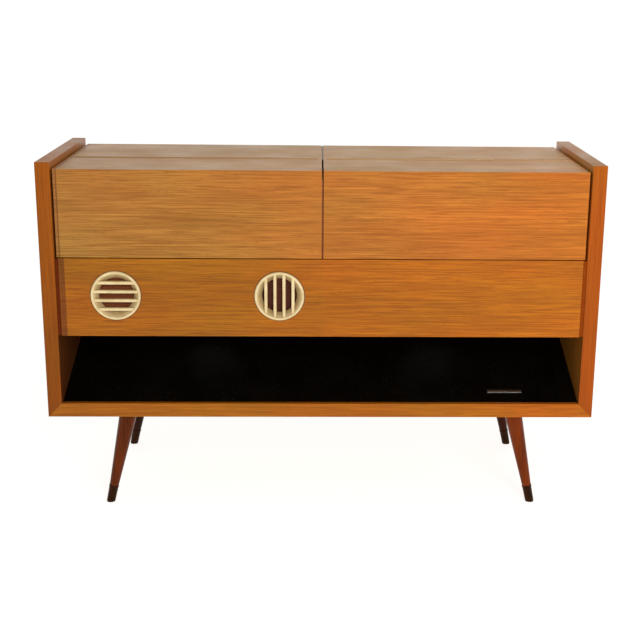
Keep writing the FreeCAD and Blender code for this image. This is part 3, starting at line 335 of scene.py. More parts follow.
def make_lid_lipping():
    """A thin reddish lipping on the left lid's free edge, which shows in the gap between the lids."""
    low, high = corners_of("lid_left_front")
    ceiling = corners_of("lid_left_top")[0].z
    shape = bmesh.new()
    first = (high.x, low.y + LIPPING_INSET, low.z + 0.5)
    last = (high.x + LIPPING_THICKNESS, high.y - 0.5, ceiling)
    block(shape, first, last, 0.4, steps=2)
    lipping = plain("lipping_wood", (124, 54, 14), (142, 64, 20), 0.5, 120, stretch=(6, 6, 1))
    make_piece(shape, "lid_lipping", lipping, "lid_left")


def leg_wood():
    wood = Surface("leg_wood", 0.3)
    fine = wood.noise((260, 260, 7), detail=4.0, roughness=0.6)
    broad = wood.noise((40, 40, 3), detail=2.0)
    tone = wood.sum("ADD", wood.vary(fine, 0.0, 0.6), wood.span(broad, 0.35, 0.65, 0.0, 0.4))
    left = wood.mix(tone, linear(54, 17, 0), linear(102, 40, 3))
    right = wood.mix(tone, linear(74, 23, 0), linear(132, 52, 3))
    colour = wood.mix(wood.span(wood.axis("X"), -0.5, 0.5), left, right)
    # painted shade: the rear legs darker than the front ones, for the cabinet's shadow
    darker = wood.shade(colour, REAR_LEG_PAINTED_SHADE)
    wood.plug(wood.mix(wood.span(wood.axis("Y"), -0.02, 0.02), colour, darker))
    wood.relief(fine, 0.0001, 0.4)
    return wood.set(Specular_IOR_Level=0.14, Specular_Tint=WARM_SHEEN)


# ---- other materials

def plain(name, low, high, roughness, scale=60, metallic=0.0, depth=0.00005, stretch=(1, 1, 1)):
    """A material whose colour, gloss and surface vary a little. Its colours are display values."""
    item = Surface(name, roughness, metallic)
    mottle = item.noise(stretch, scale, detail=4.0, roughness=0.6)
    item.plug(item.mix(item.vary(mottle), linear(*low), linear(*high)))
    item.plug(item.vary(mottle, roughness * 0.85, roughness * 1.15), "Roughness")
    item.relief(mottle, depth, 0.5)
    return item


def black_board():
    board = Surface("black_lacquer", 0.22)
    dust = board.noise(scale=420, detail=0.0)
    haze = board.noise((2, 2, 2), 6, detail=3.0)
    ground = board.mix(board.vary(haze), linear(2, 2, 1), linear(7, 7, 5))
    board.plug(board.mix(board.span(dust, 0.80, 0.84, 0.0, 0.5), ground, linear(70, 66, 56)))
    board.plug(board.vary(haze, 0.18, 0.34), "Roughness")
    board.relief(haze, 0.0002, 0.3)
    return board.set(Specular_IOR_Level=0.18)


def cream(name="cream_moulding", low=(202, 178, 128), high=(226, 206, 160), shade_and_grime=False):
    """Moulded cream plastic. With shade_and_grime it is darker behind the cabinet's front: painted shade in
    the grille's recess, with some dirt.
    """
    item = Surface(name, 0.34)
    mottle = item.noise(scale=45, detail=4.0, roughness=0.6)
    grain = item.noise(scale=1500, detail=1.0)
    colour = item.mix(item.vary(mottle), linear(*low), linear(*high))
    if shade_and_grime:
        # painted shade in the grille's recess, with some dirt: darker behind the cabinet's front
        shade_and_grime_share = item.span(item.axis("Y"), FRONT_Y - 0.0009, FRONT_Y + 0.0055, 0.0, 0.62)
        colour = item.mix(shade_and_grime_share, colour, linear(132, 96, 44))
    item.plug(colour)
    item.plug(item.vary(mottle, 0.28, 0.42), "Roughness")
    item.relief(grain, 0.00004, 0.4)
    return item.set(Subsurface_Weight=0.08, Subsurface_Scale=0.002)


SOILED = (0.52, 0.42, 0.80)
SOILED_SPAN = (-0.38, -0.16)


def weave(name, dark, light, pitch):
    """A plain woven cloth, its threads along X and Z, darker towards its right end."""
    cloth = Surface(name, 0.9)
    warp, weft = (cloth.wave(1 / pitch / 6.283, direction) for direction in "XZ")
    threads = cloth.sum("MULTIPLY", warp, weft)
    slub = cloth.noise((40, 40, 400))
    tone = cloth.sum("MULTIPLY", threads, cloth.vary(slub, 0.6, 1.2), clamp=True)
    colour = cloth.mix(tone, linear(*dark), linear(*light))
    cloth.plug(cloth.mix(cloth.span(cloth.axis("X"), *SOILED_SPAN), colour, cloth.shade(colour, SOILED)))
    cloth.relief(threads, 0.0003, 0.8)
    return cloth.set(Sheen_Weight=0.2)


# ---- pieces

def dress(edge, surface, *nodes):
    """Give CAD nodes a material, and softened edges of a size in millimetres."""
    for node in nodes:
        item = NODES[node]
        item.data.materials.clear()
        item.data.materials.append(surface.material)
        if not edge:
            continue
        item.modifiers.new("weld", "WELD").merge_threshold = 0.00001
        flat = item.modifiers.new("flat", "DECIMATE")
        flat.decimate_type = "DISSOLVE"
        flat.angle_limit = radians(0.5)
        bevel = item.modifiers.new("edges", "BEVEL")
        bevel.width = edge * MM
        bevel.segments = 2
        bevel.limit_method = "ANGLE"
        bevel.angle_limit = radians(30)
        item.modifiers.new("shading", "WEIGHTED_NORMAL")


def link(name, data):
    """A new object in the scene."""
    item = bpy.data.objects.new(name, data)
    bpy.context.scene.collection.objects.link(item)
    return item


def make_piece(shape, name, surface, body="cabinet", replaces=None):
    """A new mesh object from a bmesh, shaded smooth up to an angle, riding on a body."""
    bmesh.ops.remove_doubles(shape, verts=shape.verts, dist=0.000002)
    bmesh.ops.recalc_face_normals(shape, faces=shape.faces)
    mesh = bpy.data.meshes.new(name)
    shape.to_mesh(mesh)
    shape.free()
    mesh.materials.append(surface.material)
    for face in mesh.polygons:
        face.use_smooth = True
    mesh.set_sharp_from_angle(angle=radians(35))
    item = link(name, mesh)
    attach(item, body)
    if replaces:
        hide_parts(replaces)
    return item


def shift(x=0, y=0, z=0):
    """A move in millimetres."""
    return Matrix.Translation(Vector((x, y, z)) * MM)


def around(count):
    """Equal steps round a circle, in radians."""
    return [2 * pi * step / count for step in range(count)]


def skin(shape, rings):
    """Faces between neighbouring rings of points, and one at each end."""
    for low, high in zip(rings, rings[1:]):
        for step in range(len(low)):
            following = (step + 1) % len(low)
            shape.faces.new([low[step], low[following], high[following], high[step]])
    shape.faces.new(rings[0][::-1])
    shape.faces.new(rings[-1])


def ring_point(radius, turn, height):
    """A point of a turned shape, from its radius, angle and height in millimetres."""
    return Vector((radius * cos(turn), radius * sin(turn), height)) * MM


def soften(profile, radius, steps=4):
    """An open profile with its inner corners turned into small curves."""
    points = [Vector(point) for point in profile]
    result = [points[0]]
    for before, corner, after in zip(points, points[1:], points[2:]):
        reach = min(radius, (before - corner).length * 0.45, (after - corner).length * 0.45)
        start = corner + (before - corner).normalized() * reach
        end = corner + (after - corner).normalized() * reach
        for step in range(steps + 1):
            share = step / steps
            result.append(start * (1 - share) ** 2 + corner * 2 * share * (1 - share) + end * share**2)
    return result + [points[-1]]


def lathe(shape, profile, place=Matrix(), segments=64):
    """Turn a profile of (radius, height) in millimetres about Z, and put it in place."""
    rings = []
    for radius, height in profile:
        if radius < 0.001:
            rings.append([shape.verts.new(place @ Vector((0, 0, height * MM)))])
            continue
        ring = [place @ ring_point(radius, turn, height) for turn in around(segments)]
        rings.append([shape.verts.new(point) for point in ring])
    for low, high in zip(rings, rings[1:]):
        for step in range(segments):
            following = (step + 1) % segments
            corners = [low[step % len(low)], low[following % len(low)]]
            corners += [high[following % len(high)], high[step % len(high)]]
            unique = list(dict.fromkeys(corners))
            if len(unique) > 2:
                shape.faces.new(unique)


def block(shape, low, high, radius, place=Matrix(), steps=3):
    """A block between two corners in millimetres with all its edges rounded."""
    low, high = Vector(low) * MM, Vector(high) * MM
    size = high - low
    part = bmesh.new()
    bmesh.ops.create_cube(part, size=1.0)
    for vertex in part.verts:
        spot = Vector(vertex.co[axis] * size[axis] for axis in range(3))
        vertex.co = spot + (low + high) / 2
    width = radius * MM
    bmesh.ops.bevel(part, geom=part.edges[:], offset=width, segments=steps, profile=0.5, affect="EDGES")
    join(shape, part, place)


def join(shape, part, place=Matrix()):
    """Copy one bmesh into another, moved into place."""
    copies = {vertex: shape.verts.new(place @ vertex.co) for vertex in part.verts}
    for face in part.faces:
        shape.faces.new([copies[vertex] for vertex in face.verts])
    part.free()


def facing(point, direction):
    """A placement at a point whose Z looks along a direction and whose X stays level."""
    out = Vector(direction).normalized()
    across = Vector((0, 0, 1)).cross(out)
    across = across.normalized() if across.length > 0.001 else Vector((1, 0, 0))
    up = out.cross(across)
    turn = Matrix((across, up, out)).transposed().to_4x4()
    return Matrix.Translation(point) @ turn


# ---- grilles and cloth

RIM_RADIUS = 53.5
RIM_INNER = 47.4
OPENING = 37.5
BAR_PITCH = 19.4
BAR_WIDTH = 6.8
LEVEL_BAR_DROP = 1.6
LONG_BAR = 47.6
SHORT_BAR = 41.0
# how far the dark ring reaches outside the rim: a painted shadow line
SHADOW_RING_WIDTH = 1.3
CLOTH_COLUMNS = 160
CLOTH_ROWS = 44
CLOTH_GIVE = 0.0002
GIVE_REACH = 0.045


def grille_ring():
    """The ring's profile, from the opening's back edge over the cone and the round rim to its back."""
    profile = [(OPENING, -14), (OPENING, -9.6)]
    profile += [(OPENING + 0.8, -8.6), (RIM_INNER - 0.6, -1.8), (RIM_INNER, -1.2)]
    middle, half = (RIM_RADIUS + RIM_INNER) / 2, (RIM_RADIUS - RIM_INNER) / 2
    for step in range(13):
        turn = pi * (1 - step / 12)
        profile.append((middle + half * cos(turn), 0.6 + 3.1 * sin(turn)))
    profile += [(RIM_RADIUS, 0), (OPENING + 12.2, 0), (OPENING + 12.2, -14), (OPENING, -14)]
    return profile


def make_grille(name, upright, moulding, rim_shadow_surface):
    """A round moulding with a dished ring and four rounded bars, and a thin dark ring just outside its rim:
    a painted shadow line.
    """
    middle = centre_of(name)
    place = facing((middle.x, FRONT_Y, middle.z), (0, -1, 0))
    shape = bmesh.new()
    lathe(shape, grille_ring(), place, 128)
    turn = Matrix.Rotation(radians(90 if upright else 0), 4, "Z")
    for step in (-1.5, -0.5, 0.5, 1.5):
        off = step * BAR_PITCH - (0 if upright else LEVEL_BAR_DROP)
        reach = LONG_BAR if abs(step) < 1 else SHORT_BAR
        low, high = (-reach, off - BAR_WIDTH / 2, -11), (reach, off + BAR_WIDTH / 2, 1.4)
        block(shape, low, high, 2.4, place @ turn, 4)
    make_piece(shape, name + "_moulding", moulding, replaces=name)
    # a thin dark ring under the rim that shows just outside it: a painted shadow line
    rim_shadow_mesh = bmesh.new()
    inner, outer = OPENING + 11, RIM_RADIUS + SHADOW_RING_WIDTH
    outline = [(inner, 0.1), (inner, -0.3), (outer, -0.3), (outer, 0.15)]
    outline += [(outer - 0.3, 0.3), (RIM_RADIUS - 1, 0.3)]
    lathe(rim_shadow_mesh, outline, place, 128)
    make_piece(rim_shadow_mesh, name + "_shadow_ring", rim_shadow_surface)


def make_cloth():
    """The cloth stretched behind the front panel, with the slight give of a woven sheet over its holes."""
    low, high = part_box("grille_cloth")
    size = high - low
    middle_z = (low.z + high.z) / 2
    centres = [centre_of(name).x for name in ("grille_left", "grille_right")]
    shape = bmesh.new()

    def layer(depth, share):
        """Make one face of the cloth, and give the points round its rim."""
        grid = []
        for row in range(CLOTH_ROWS + 1):
            z = low.z + size.z * row / CLOTH_ROWS
            line = []
            for column in range(CLOTH_COLUMNS + 1):
                x = low.x + size.x * column / CLOTH_COLUMNS
                near = min(hypot(x - centre, z - middle_z) for centre in centres)
                give = CLOTH_GIVE * max(0.0, 1 - near / GIVE_REACH)
                line.append(shape.verts.new((x, depth + give * share, z)))
            grid.append(line)
        for first, second in zip(grid, grid[1:]):
            for corners in zip(first, first[1:], second[1:], second):
                shape.faces.new(corners)
        right, left = [line[-1] for line in grid[:-1]], [line[0] for line in grid[:0:-1]]
        return grid[0][:-1] + right + grid[-1][:0:-1] + left

    front, back = layer(low.y + 0.0001, 1), layer(high.y - 0.0002, 0.5)
    for corners in zip(front, front[1:] + front[:1], back[1:] + back[:1], back):
        shape.faces.new(corners)
    cloth = weave("speaker_cloth", (86, 36, 4), (186, 100, 34), 0.0016)
    item = make_piece(shape, "grille_cloth_sheet", cloth, replaces="grille_cloth")


# ---- legs

FERRULE_TOP = 40.0
FOOT_RADIUS = 9.5
LOW_RADIUS = 10.2
TOP_RADIUS = 19.5


def leg_axis(name):
    """Foot, direction and length of a leg, from its board-level top and its foot."""
    outward = Vector((-1 if name.endswith("left") else 1, -1 if name.startswith("front") else 1, 0))
    low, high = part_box("leg_" + name)
    top = Vector((low.x if outward.x > 0 else high.x, low.y if outward.y > 0 else high.y, CABINET_BASE))
    top += outward * TOP_RADIUS * MM
    low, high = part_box("leg_ferrules")
    foot = Vector((high.x if outward.x > 0 else low.x, high.y if outward.y > 0 else low.y, 0))
    foot -= outward * FOOT_RADIUS * MM
    return foot, (top - foot).normalized(), (top - foot).length / MM


def lean(shape, foot, along, profile, floor=None, ceiling=None):
    """A turned shape about a leaning axis whose first and last rings can lie in level planes."""
    place = facing(foot, along)
    rings = []
    for index, (radius, height) in enumerate(profile):
        level = floor if index == 0 else ceiling if index == len(profile) - 1 else None
        ring = []
        for turn in around(64):
            point = place @ ring_point(radius, turn, height)
            if level is not None:
                point += along * ((level - point.z) / along.z)
            point.z = max(point.z, 0.0)
            ring.append(shape.verts.new(point))
        rings.append(ring)
    skin(shape, rings)


def make_legs():
    wood = leg_wood()
    metal = plain("blackened_brass", (30, 10, 0), (50, 20, 2), 0.42, 90, 0.2)
    metal.set(Specular_IOR_Level=0.10, Specular_Tint=WARM_SHEEN)
    shell = [(FOOT_RADIUS - 0.8, 0), (FOOT_RADIUS, 1.5), (FOOT_RADIUS + 0.1, 5)]
    for out, down in ((0.1, 5), (0.6, 4), (0.8, 2), (0.6, 0.4), (0.2, 0), (-0.4, 0)):
        shell.append((LOW_RADIUS + out, FERRULE_TOP - down))
    ferrules = bmesh.new()
    for name in ("front_left", "front_right", "rear_left", "rear_right"):
        foot, along, length = leg_axis(name)
        leg = bmesh.new()
        shares = [step / 8 for step in range(9)]
        rise, taper = length - FERRULE_TOP, TOP_RADIUS - LOW_RADIUS
        profile = [(LOW_RADIUS + taper * share, FERRULE_TOP + rise * share) for share in shares]
        lean(leg, foot, along, profile, ceiling=CABINET_BASE)
        make_piece(leg, "turned_leg_" + name, wood, replaces="leg_" + name)
        lean(ferrules, foot, along, shell, floor=0.0)
    make_piece(ferrules, "turned_ferrules", metal, replaces="leg_ferrules")


# ---- more shapes

def fluted(shape, profile, count, depth, place=Matrix()):
    """A turned shape whose widest rows carry flutes round their rim."""
    widest = max(radius for radius, _height in profile)
    rings = []
    for radius, height in profile:
        ring = []
        for turn in around(count * 6):
            cut = depth * (1 - cos(turn * count)) / 2 if radius > widest * 0.86 else 0
            ring.append(shape.verts.new(place @ ring_point(max(radius - cut, 0.01), turn, height)))
        rings.append(ring)
    skin(shape, rings)


ARM_SQUARENESS = 3.2
ARM_RISE = 0.4


def loft(shape, sections, place):
    """A closed skin through rounded sections along Y: (y, half width, half height) in millimetres."""
    def bulge(value, half):
        return copysign(abs(value) ** (2 / ARM_SQUARENESS), value) * half

    rings = []
    for along, wide, tall in sections:
        points = [(bulge(cos(turn), wide), along, bulge(sin(turn), tall) + ARM_RISE) for turn in around(32)]
        rings.append([shape.verts.new(place @ (Vector(point) * MM)) for point in points])
    skin(shape, rings)


def lettering(shape, text, place, depth=0.15):
    """Raised figures lying in a placement's plane."""
    curve = bpy.data.curves.new("figures", "FONT")
    curve.body = text
    curve.size = FIGURE_SIZE * MM
    curve.extrude = depth * MM / 2
    curve.align_x = "CENTER"
    curve.align_y = "CENTER"
    holder = link("figures", curve)
    bpy.context.view_layer.update()
    mesh = bpy.data.meshes.new_from_object(holder.evaluated_get(bpy.context.evaluated_depsgraph_get()))
    part = bmesh.new()
    part.from_mesh(mesh)
    join(shape, part, place)
    bpy.data.objects.remove(holder)
    bpy.data.meshes.remove(mesh)


# ---- radio

KNOB_UP = 58
SMALL_KNOB_UP = 142
KNOB_OFF = 205
WINDOW = ((-150, 105), (150, 180))
SCALE_FLOOR = -18
SCALE_LENGTH = 250
SCALE_ROWS = {168: (88, 4, 6, 5), 151: (5, 1, 7, 4), 134: (500, 200, 6, 4), 117: (150, 30, 5, 6)}
FIGURE_SIZE = 6.0
VALVE_RADIUS = 11
VALVE_COUNT = 5
SHEETS = 26
VANES = 9


def panel_frame():
    """The sloping radio panel's own frame: X across it, Y up it and Z out of it."""
    out = -Vector(JOINTS["tuning_turn"]["axis"])
    across = Vector((1, 0, 0))
    up = out.cross(across)
    middle = (joint_spot("tuning_turn") + joint_spot("volume_turn")) / 2
    turn = Matrix((across, up, out)).transposed().to_4x4()
    return Matrix.Translation(middle - up * KNOB_UP * MM) @ turn


def panel_place(node):
    """The panel's frame, moved across to a node's middle."""
    place = panel_frame()
    return place @ Matrix.Translation((centre_of(node).x - place.translation.x, 0, 0))


def make_knob(name, body, radius, across, up, surfaces):
    """A fluted knob with a pointer line and a brass cap let into its face."""
    ivory, brass = surfaces
    place = panel_frame() @ shift(across, up)
    insets = [(3, 2), (0.4, 2), (0, 3), (0, 8), (1.2, 10), (1.6, 15), (2.4, 17.2), (4, 18), (5.5, 17.4)]
    insets += [(6, 16.6)]
    outline = [(radius - inset, height) for inset, height in insets]
    shape = bmesh.new()
    fluted(shape, outline, 28 if radius > 18 else 20, 0.9, place)
    make_piece(shape, name + "_body", ivory, body, name)
    cap = bmesh.new()
    edge = radius - 8
    dome = [(edge + 1.8, 16.2), (edge + 1.8, 16.9), (edge, 17.6), (edge / 2, 18.0), (0, 18.1)]
    lathe(cap, dome, place, 48)
    block(cap, (-0.6, radius - 5.8, 16.6), (0.6, radius - 1.6, 18.4), 0.25, place, 2)
    make_piece(cap, name + "_cap", brass, body)


def make_keys(ivory):
    """Piano keys with a rounded nose and a raised ridge under the finger."""
    for number in range(1, 5):
        place = panel_place(f"key_{number}")
        shape = bmesh.new()
        block(shape, (-17.6, 26.4, -2), (17.6, 47.6, 11.2), 2.2, place, 4)
        for ridge in range(3):
            height = 30.5 + 2.2 * ridge
            block(shape, (-13, height, 10.6), (13, height + 1.0, 11.8), 0.4, place, 2)
        make_piece(shape, f"piano_key_cap_{number}", ivory, f"piano_key_{number}", f"key_{number}")


def make_dial(brass, glass):
    """The scale plate with its lines and figures, the bezel, the glass and the pointer."""
    place = panel_frame()
    (low_u, low_v), (high_u, high_v) = WINDOW
    plate = bmesh.new()
    corners = ((low_u - 2, low_v - 2, SCALE_FLOOR + 0.05), (high_u + 2, high_v + 2, SCALE_FLOOR + 1))
    block(plate, *corners, 0.2, place, 1)
    lacquer = plain("scale_lacquer", (26, 15, 9), (40, 24, 14), 0.25, 30)
    make_piece(plate, "scale_plate", lacquer)
    marks = bmesh.new()
    low, high = SCALE_FLOOR + 0.9, SCALE_FLOOR + 1.2
    for up, (first, gap, count, divisions) in SCALE_ROWS.items():
        block(marks, (-132, up - 3.4, low), (132, up - 2.9, high), 0.08, place, 1)
        pitch = SCALE_LENGTH / (count - 1)
        for step in range((count - 1) * divisions + 1):
            across = step * pitch / divisions - SCALE_LENGTH / 2
            tall = 2.6 if step % divisions == 0 else 1.4
            block(marks, (across - 0.3, up - 3, low), (across + 0.3, up - 3 + tall, high), 0.05, place, 1)
        for step in range(count):
            spot = place @ shift(step * pitch - SCALE_LENGTH / 2, up + 3.4, SCALE_FLOOR + 1.1)
            lettering(marks, str(first + step * gap), spot)
    print_gold = plain("scale_print", (222, 196, 132), (236, 212, 150), 0.4, 200)
    make_piece(marks, "scale_marks", print_gold)
    bezel = bmesh.new()
    for side, (edge_u, edge_v) in zip((-1, 1), WINDOW):
        near_u, far_u = sorted((edge_u, edge_u + side * 4))
        near_v, far_v = sorted((edge_v, edge_v + side * 4))
        block(bezel, (near_u, low_v - 4, -0.5), (far_u, high_v + 4, 2.2), 0.9, place)
        block(bezel, (low_u - 4, near_v, -0.5), (high_u + 4, far_v, 2.2), 0.9, place)
    make_piece(bezel, "dial_bezel", brass)
    make_tuning_eye(brass, place @ shift(-KNOB_OFF, SMALL_KNOB_UP))
    pointer = bmesh.new()
    place = panel_place("dial_pointer")
    block(pointer, (-0.7, low_v - 1, -16), (0.7, high_v + 1, -14.4), 0.3, place, 2)
    block(pointer, (-2.4, high_v - 3, -16.2), (2.4, high_v + 1, -14.2), 0.6, place, 2)
    red = plain("pointer_red", (150, 24, 14), (176, 36, 20), 0.35, 300)
    make_piece(pointer, "dial_pointer_needle", red, "pointer", "dial_pointer")
    dress(0.3, glass, "dial_glass")


def make_tuning_eye(brass, place):
    """The tuning eye: a brass bezel round its domed screen."""
    eye = bmesh.new()
    lathe(eye, [(9, 0), (14, 0), (14, 1.6), (13, 3), (10.4, 3), (9, 1.4), (9, 0)], place)
    make_piece(eye, "tuning_eye_bezel", brass)
    screen = bmesh.new()
    lathe(screen, [(9.2, 0.3), (9.2, 0.9), (6, 1.6), (3, 1.95), (0, 2.1)], place, 48)
    make_piece(screen, "tuning_eye_screen", tuning_eye(place))


def tuning_eye(place):
    """A green fluorescent screen with a dark middle."""
    item = Surface("tuning_eye", 0.12)
    middle = place.translation
    near = item.add("ShaderNodeVectorMath", {0: item.place(), 1: tuple(middle)}, operation="DISTANCE")
    ring = item.span(near.outputs["Value"], 0.0028, 0.0034)
    green = item.mix(ring, linear(8, 10, 8), linear(60, 210, 110))
    fine = item.noise(scale=2500, detail=1.0)
    item.plug(item.mix(item.span(fine, 0.4, 0.7, 0.0, 0.3), green, linear(30, 130, 70)))
    return item.set(Coat_Weight=0.6, Coat_Roughness=0.05)


def make_valves(glass, steel):
    """Five valves: glass with a rounded top and pip, and the electrodes, getter and base inside it."""
    low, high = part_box("radio_valves")
    inset = VALVE_RADIUS * MM
    envelopes, insides, bases = bmesh.new(), bmesh.new(), bmesh.new()
    bulb = [(9.6, 3), (10.6, 3.5), (10.9, 6), (10.9, 44), (10.2, 49), (7.6, 52.5), (3.6, 54.2), (1.6, 55)]
    bulb += [(1.1, 56.6), (0, 57.4)]
    plates = [(0, 10), (4, 10), (4, 11), (6.4, 11), (6.4, 12), (4.6, 12), (4.6, 34), (6.4, 34), (6.4, 35)]
    plates += [(4, 35), (4, 36), (0, 36)]
    for number in range(VALVE_COUNT):
        last = number == VALVE_COUNT - 1
        x = low.x + inset + (high.x - low.x - 2 * inset) * number / (VALVE_COUNT - 1)
        place = Matrix.Translation((x, low.y + inset if last else high.y - inset, low.z))
        lathe(envelopes, soften(bulb, 1.2, 3), place, 40)
        lathe(insides, plates, place, 28)
        lathe(insides, [(0, 40), (3.4, 40), (3.4, 40.8), (0, 40.8)], place, 24)
        for turn in around(3):
            spot = place @ shift(3.4 * cos(turn), 3.4 * sin(turn))
            lathe(insides, [(0, 5), (0.4, 5), (0.4, 40), (0, 40)], spot, 8)
        lathe(bases, soften([(0, 0.1), (11, 0.1), (11, 4), (9.8, 5), (0, 5)], 0.5, 2), place, 40)
    make_piece(envelopes, "valve_envelopes", glass, replaces="radio_valves")
    make_piece(insides, "valve_electrodes", steel)
    socket = plain("valve_socket", (44, 26, 16), (58, 36, 22), 0.4, 120)
    make_piece(bases, "valve_sockets", socket)


def make_transformer(steel):
    """A stack of laminations with clamp bolts, and a coil in paper with soldering tags."""
    low, high = corners_of("mains_transformer")
    near, far = low.y + 12, high.y - 12
    core = bmesh.new()
    thick = (far - near) / SHEETS
    for sheet in range(SHEETS):
        inset = 0.25 if sheet % 2 else 0.0
        y = near + sheet * thick
        corner = (high.x - inset, y + thick - 0.15, high.z - inset)
        block(core, (low.x + inset, y, low.z), corner, 0.1, steps=1)
    for x in (low.x + 6, high.x - 6):
        for z in (low.z + 6, high.z - 6):
            bolt = facing(Vector((x, near, z)) * MM, (0, -1, 0))
            fluted(core, [(0.5, 0), (4, 0), (4, 2.6), (3.4, 3.2), (0.5, 3.2)], 6, 0.4, bolt)
    make_piece(core, "transformer_core", steel, replaces="mains_transformer")
    coil = bmesh.new()
    block(coil, (low.x + 12, low.y, low.z + 12), (high.x - 12, high.y, low.z + 54), 3)
    paper = plain("coil_paper", (168, 122, 62), (196, 150, 84), 0.7, 80, stretch=(1, 1, 12))
    make_piece(coil, "transformer_coil", paper)
    tags = bmesh.new()
    for step in range(7):
        x = (low.x + high.x) / 2 - 21 + step * 7
        block(tags, (x - 1, low.y - 1.2, low.z + 46), (x + 1, low.y + 0.6, low.z + 53), 0.3, steps=1)
    make_piece(tags, "transformer_tags", steel)


def make_capacitor(steel, brass):
    """The tuning capacitor: an open frame with two packs of vanes on a shaft."""
    low, high = corners_of("tuning_capacitor")
    near, far = low.y + 14, high.y
    shape = bmesh.new()
    block(shape, (low.x, near, low.z), (high.x, far, low.z + 2), 0.5, steps=2)
    for y in (near, (near + far) / 2 - 1, far - 2):
        block(shape, (low.x, y, low.z), (high.x, y + 2, high.z), 0.6, steps=2)
    vanes = bmesh.new()
    middle = (low.x + high.x) / 2
    axle = facing(Vector((middle, low.y, low.z + 22)) * MM, (0, 1, 0))
    end = far - low.y - 1
    lathe(vanes, soften([(0, 0), (3, 0), (3, end), (0, end)], 0.4, 2), axle, 24)
    for step in range(2 * VANES):
        pack, number = divmod(step, VANES)
        y = near + 4 + pack * (far - near) / 2 + number * 1.9
        block(vanes, (middle - 2, y, low.z + 8), (middle + 22, y + 0.6, low.z + 38), 0.2, steps=1)
        block(vanes, (low.x + 3, y + 0.9, low.z + 5), (middle + 4, y + 1.5, high.z - 5), 0.2, steps=1)
    make_piece(shape, "capacitor_frame", steel, replaces="tuning_capacitor")
    make_piece(vanes, "capacitor_vanes", brass)


# ---- record player

MAT_START = 22
MAT_BAND = 20.0
MAT_GROOVE = 2.5
RIM_DOTS = 180
FIGURE_RING = 24
DECK_SCREW_INSET = 0.02


def make_turntable(metal, steel):
    """The platter with a ribbed rim, its grooved rubber mat and the polished spindle."""
    spot = joint_spot("turntable_spin")
    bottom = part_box("platter")[0].z
    radius = (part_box("platter")[1].x - spot.x) / MM
    place = Matrix.Translation((spot.x, spot.y, bottom))
    shape = bmesh.new()
    rim = [(-8, 11), (-8, 0.2), (-1, 0), (0, 1), (0, 3), (-0.5, 3.3), (-0.5, 10.4), (0, 10.7), (0, 12.6)]
    rim += [(-1, 13.8), (-2, 14)]
    outline = [(14, 0.2), (14, 11)] + [(radius + out, height) for out, height in rim] + [(4, 14)]
    lathe(shape, soften(outline, 0.5, 3), place, 128)
    make_piece(shape, "turned_platter", metal, "turntable", "platter")
    dots = bmesh.new()
    for angle in around(RIM_DOTS):
        turn = Matrix.Rotation(angle, 4, "Z")
        block(dots, (radius - 0.7, -1.1, 4.2), (radius - 0.1, 1.1, 9.6), 0.25, place @ turn, 1)
    make_piece(dots, "platter_rim_dots", metal, "turntable")
    mat = bmesh.new()
    rings = [(4.4, 14.05), (4.4, 16.6), (6, 17)]
    edge = radius - 4
    for step in range(int(edge - MAT_START - 4) * 4):
        in_band = step / 4 % MAT_BAND > MAT_GROOVE
        height = 16.7 + 0.3 * cos(pi * step / 4) if in_band else 16.1
        rings.append((MAT_START + step / 4, height))
    rings += [(edge - 0.6, 17), (edge, 16.4), (edge, 14.05)]
    lathe(mat, rings, place, 96)
    rubber = plain("mat_rubber", (24, 23, 22), (38, 36, 34), 0.7, 120)
    make_piece(mat, "grooved_mat", rubber, "turntable", "platter_mat")
    pin = bmesh.new()
    top = (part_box("record_spindle")[1].z - bottom) / MM
    outline = [(4, -3), (4, 17), (3.6, 17.2), (3.6, top - 5), (3.0, top - 2.2), (1.8, top - 0.5), (0, top)]
    lathe(pin, soften(outline, 0.6, 3), place, 32)
    make_piece(pin, "polished_spindle", steel, "turntable", "record_spindle")


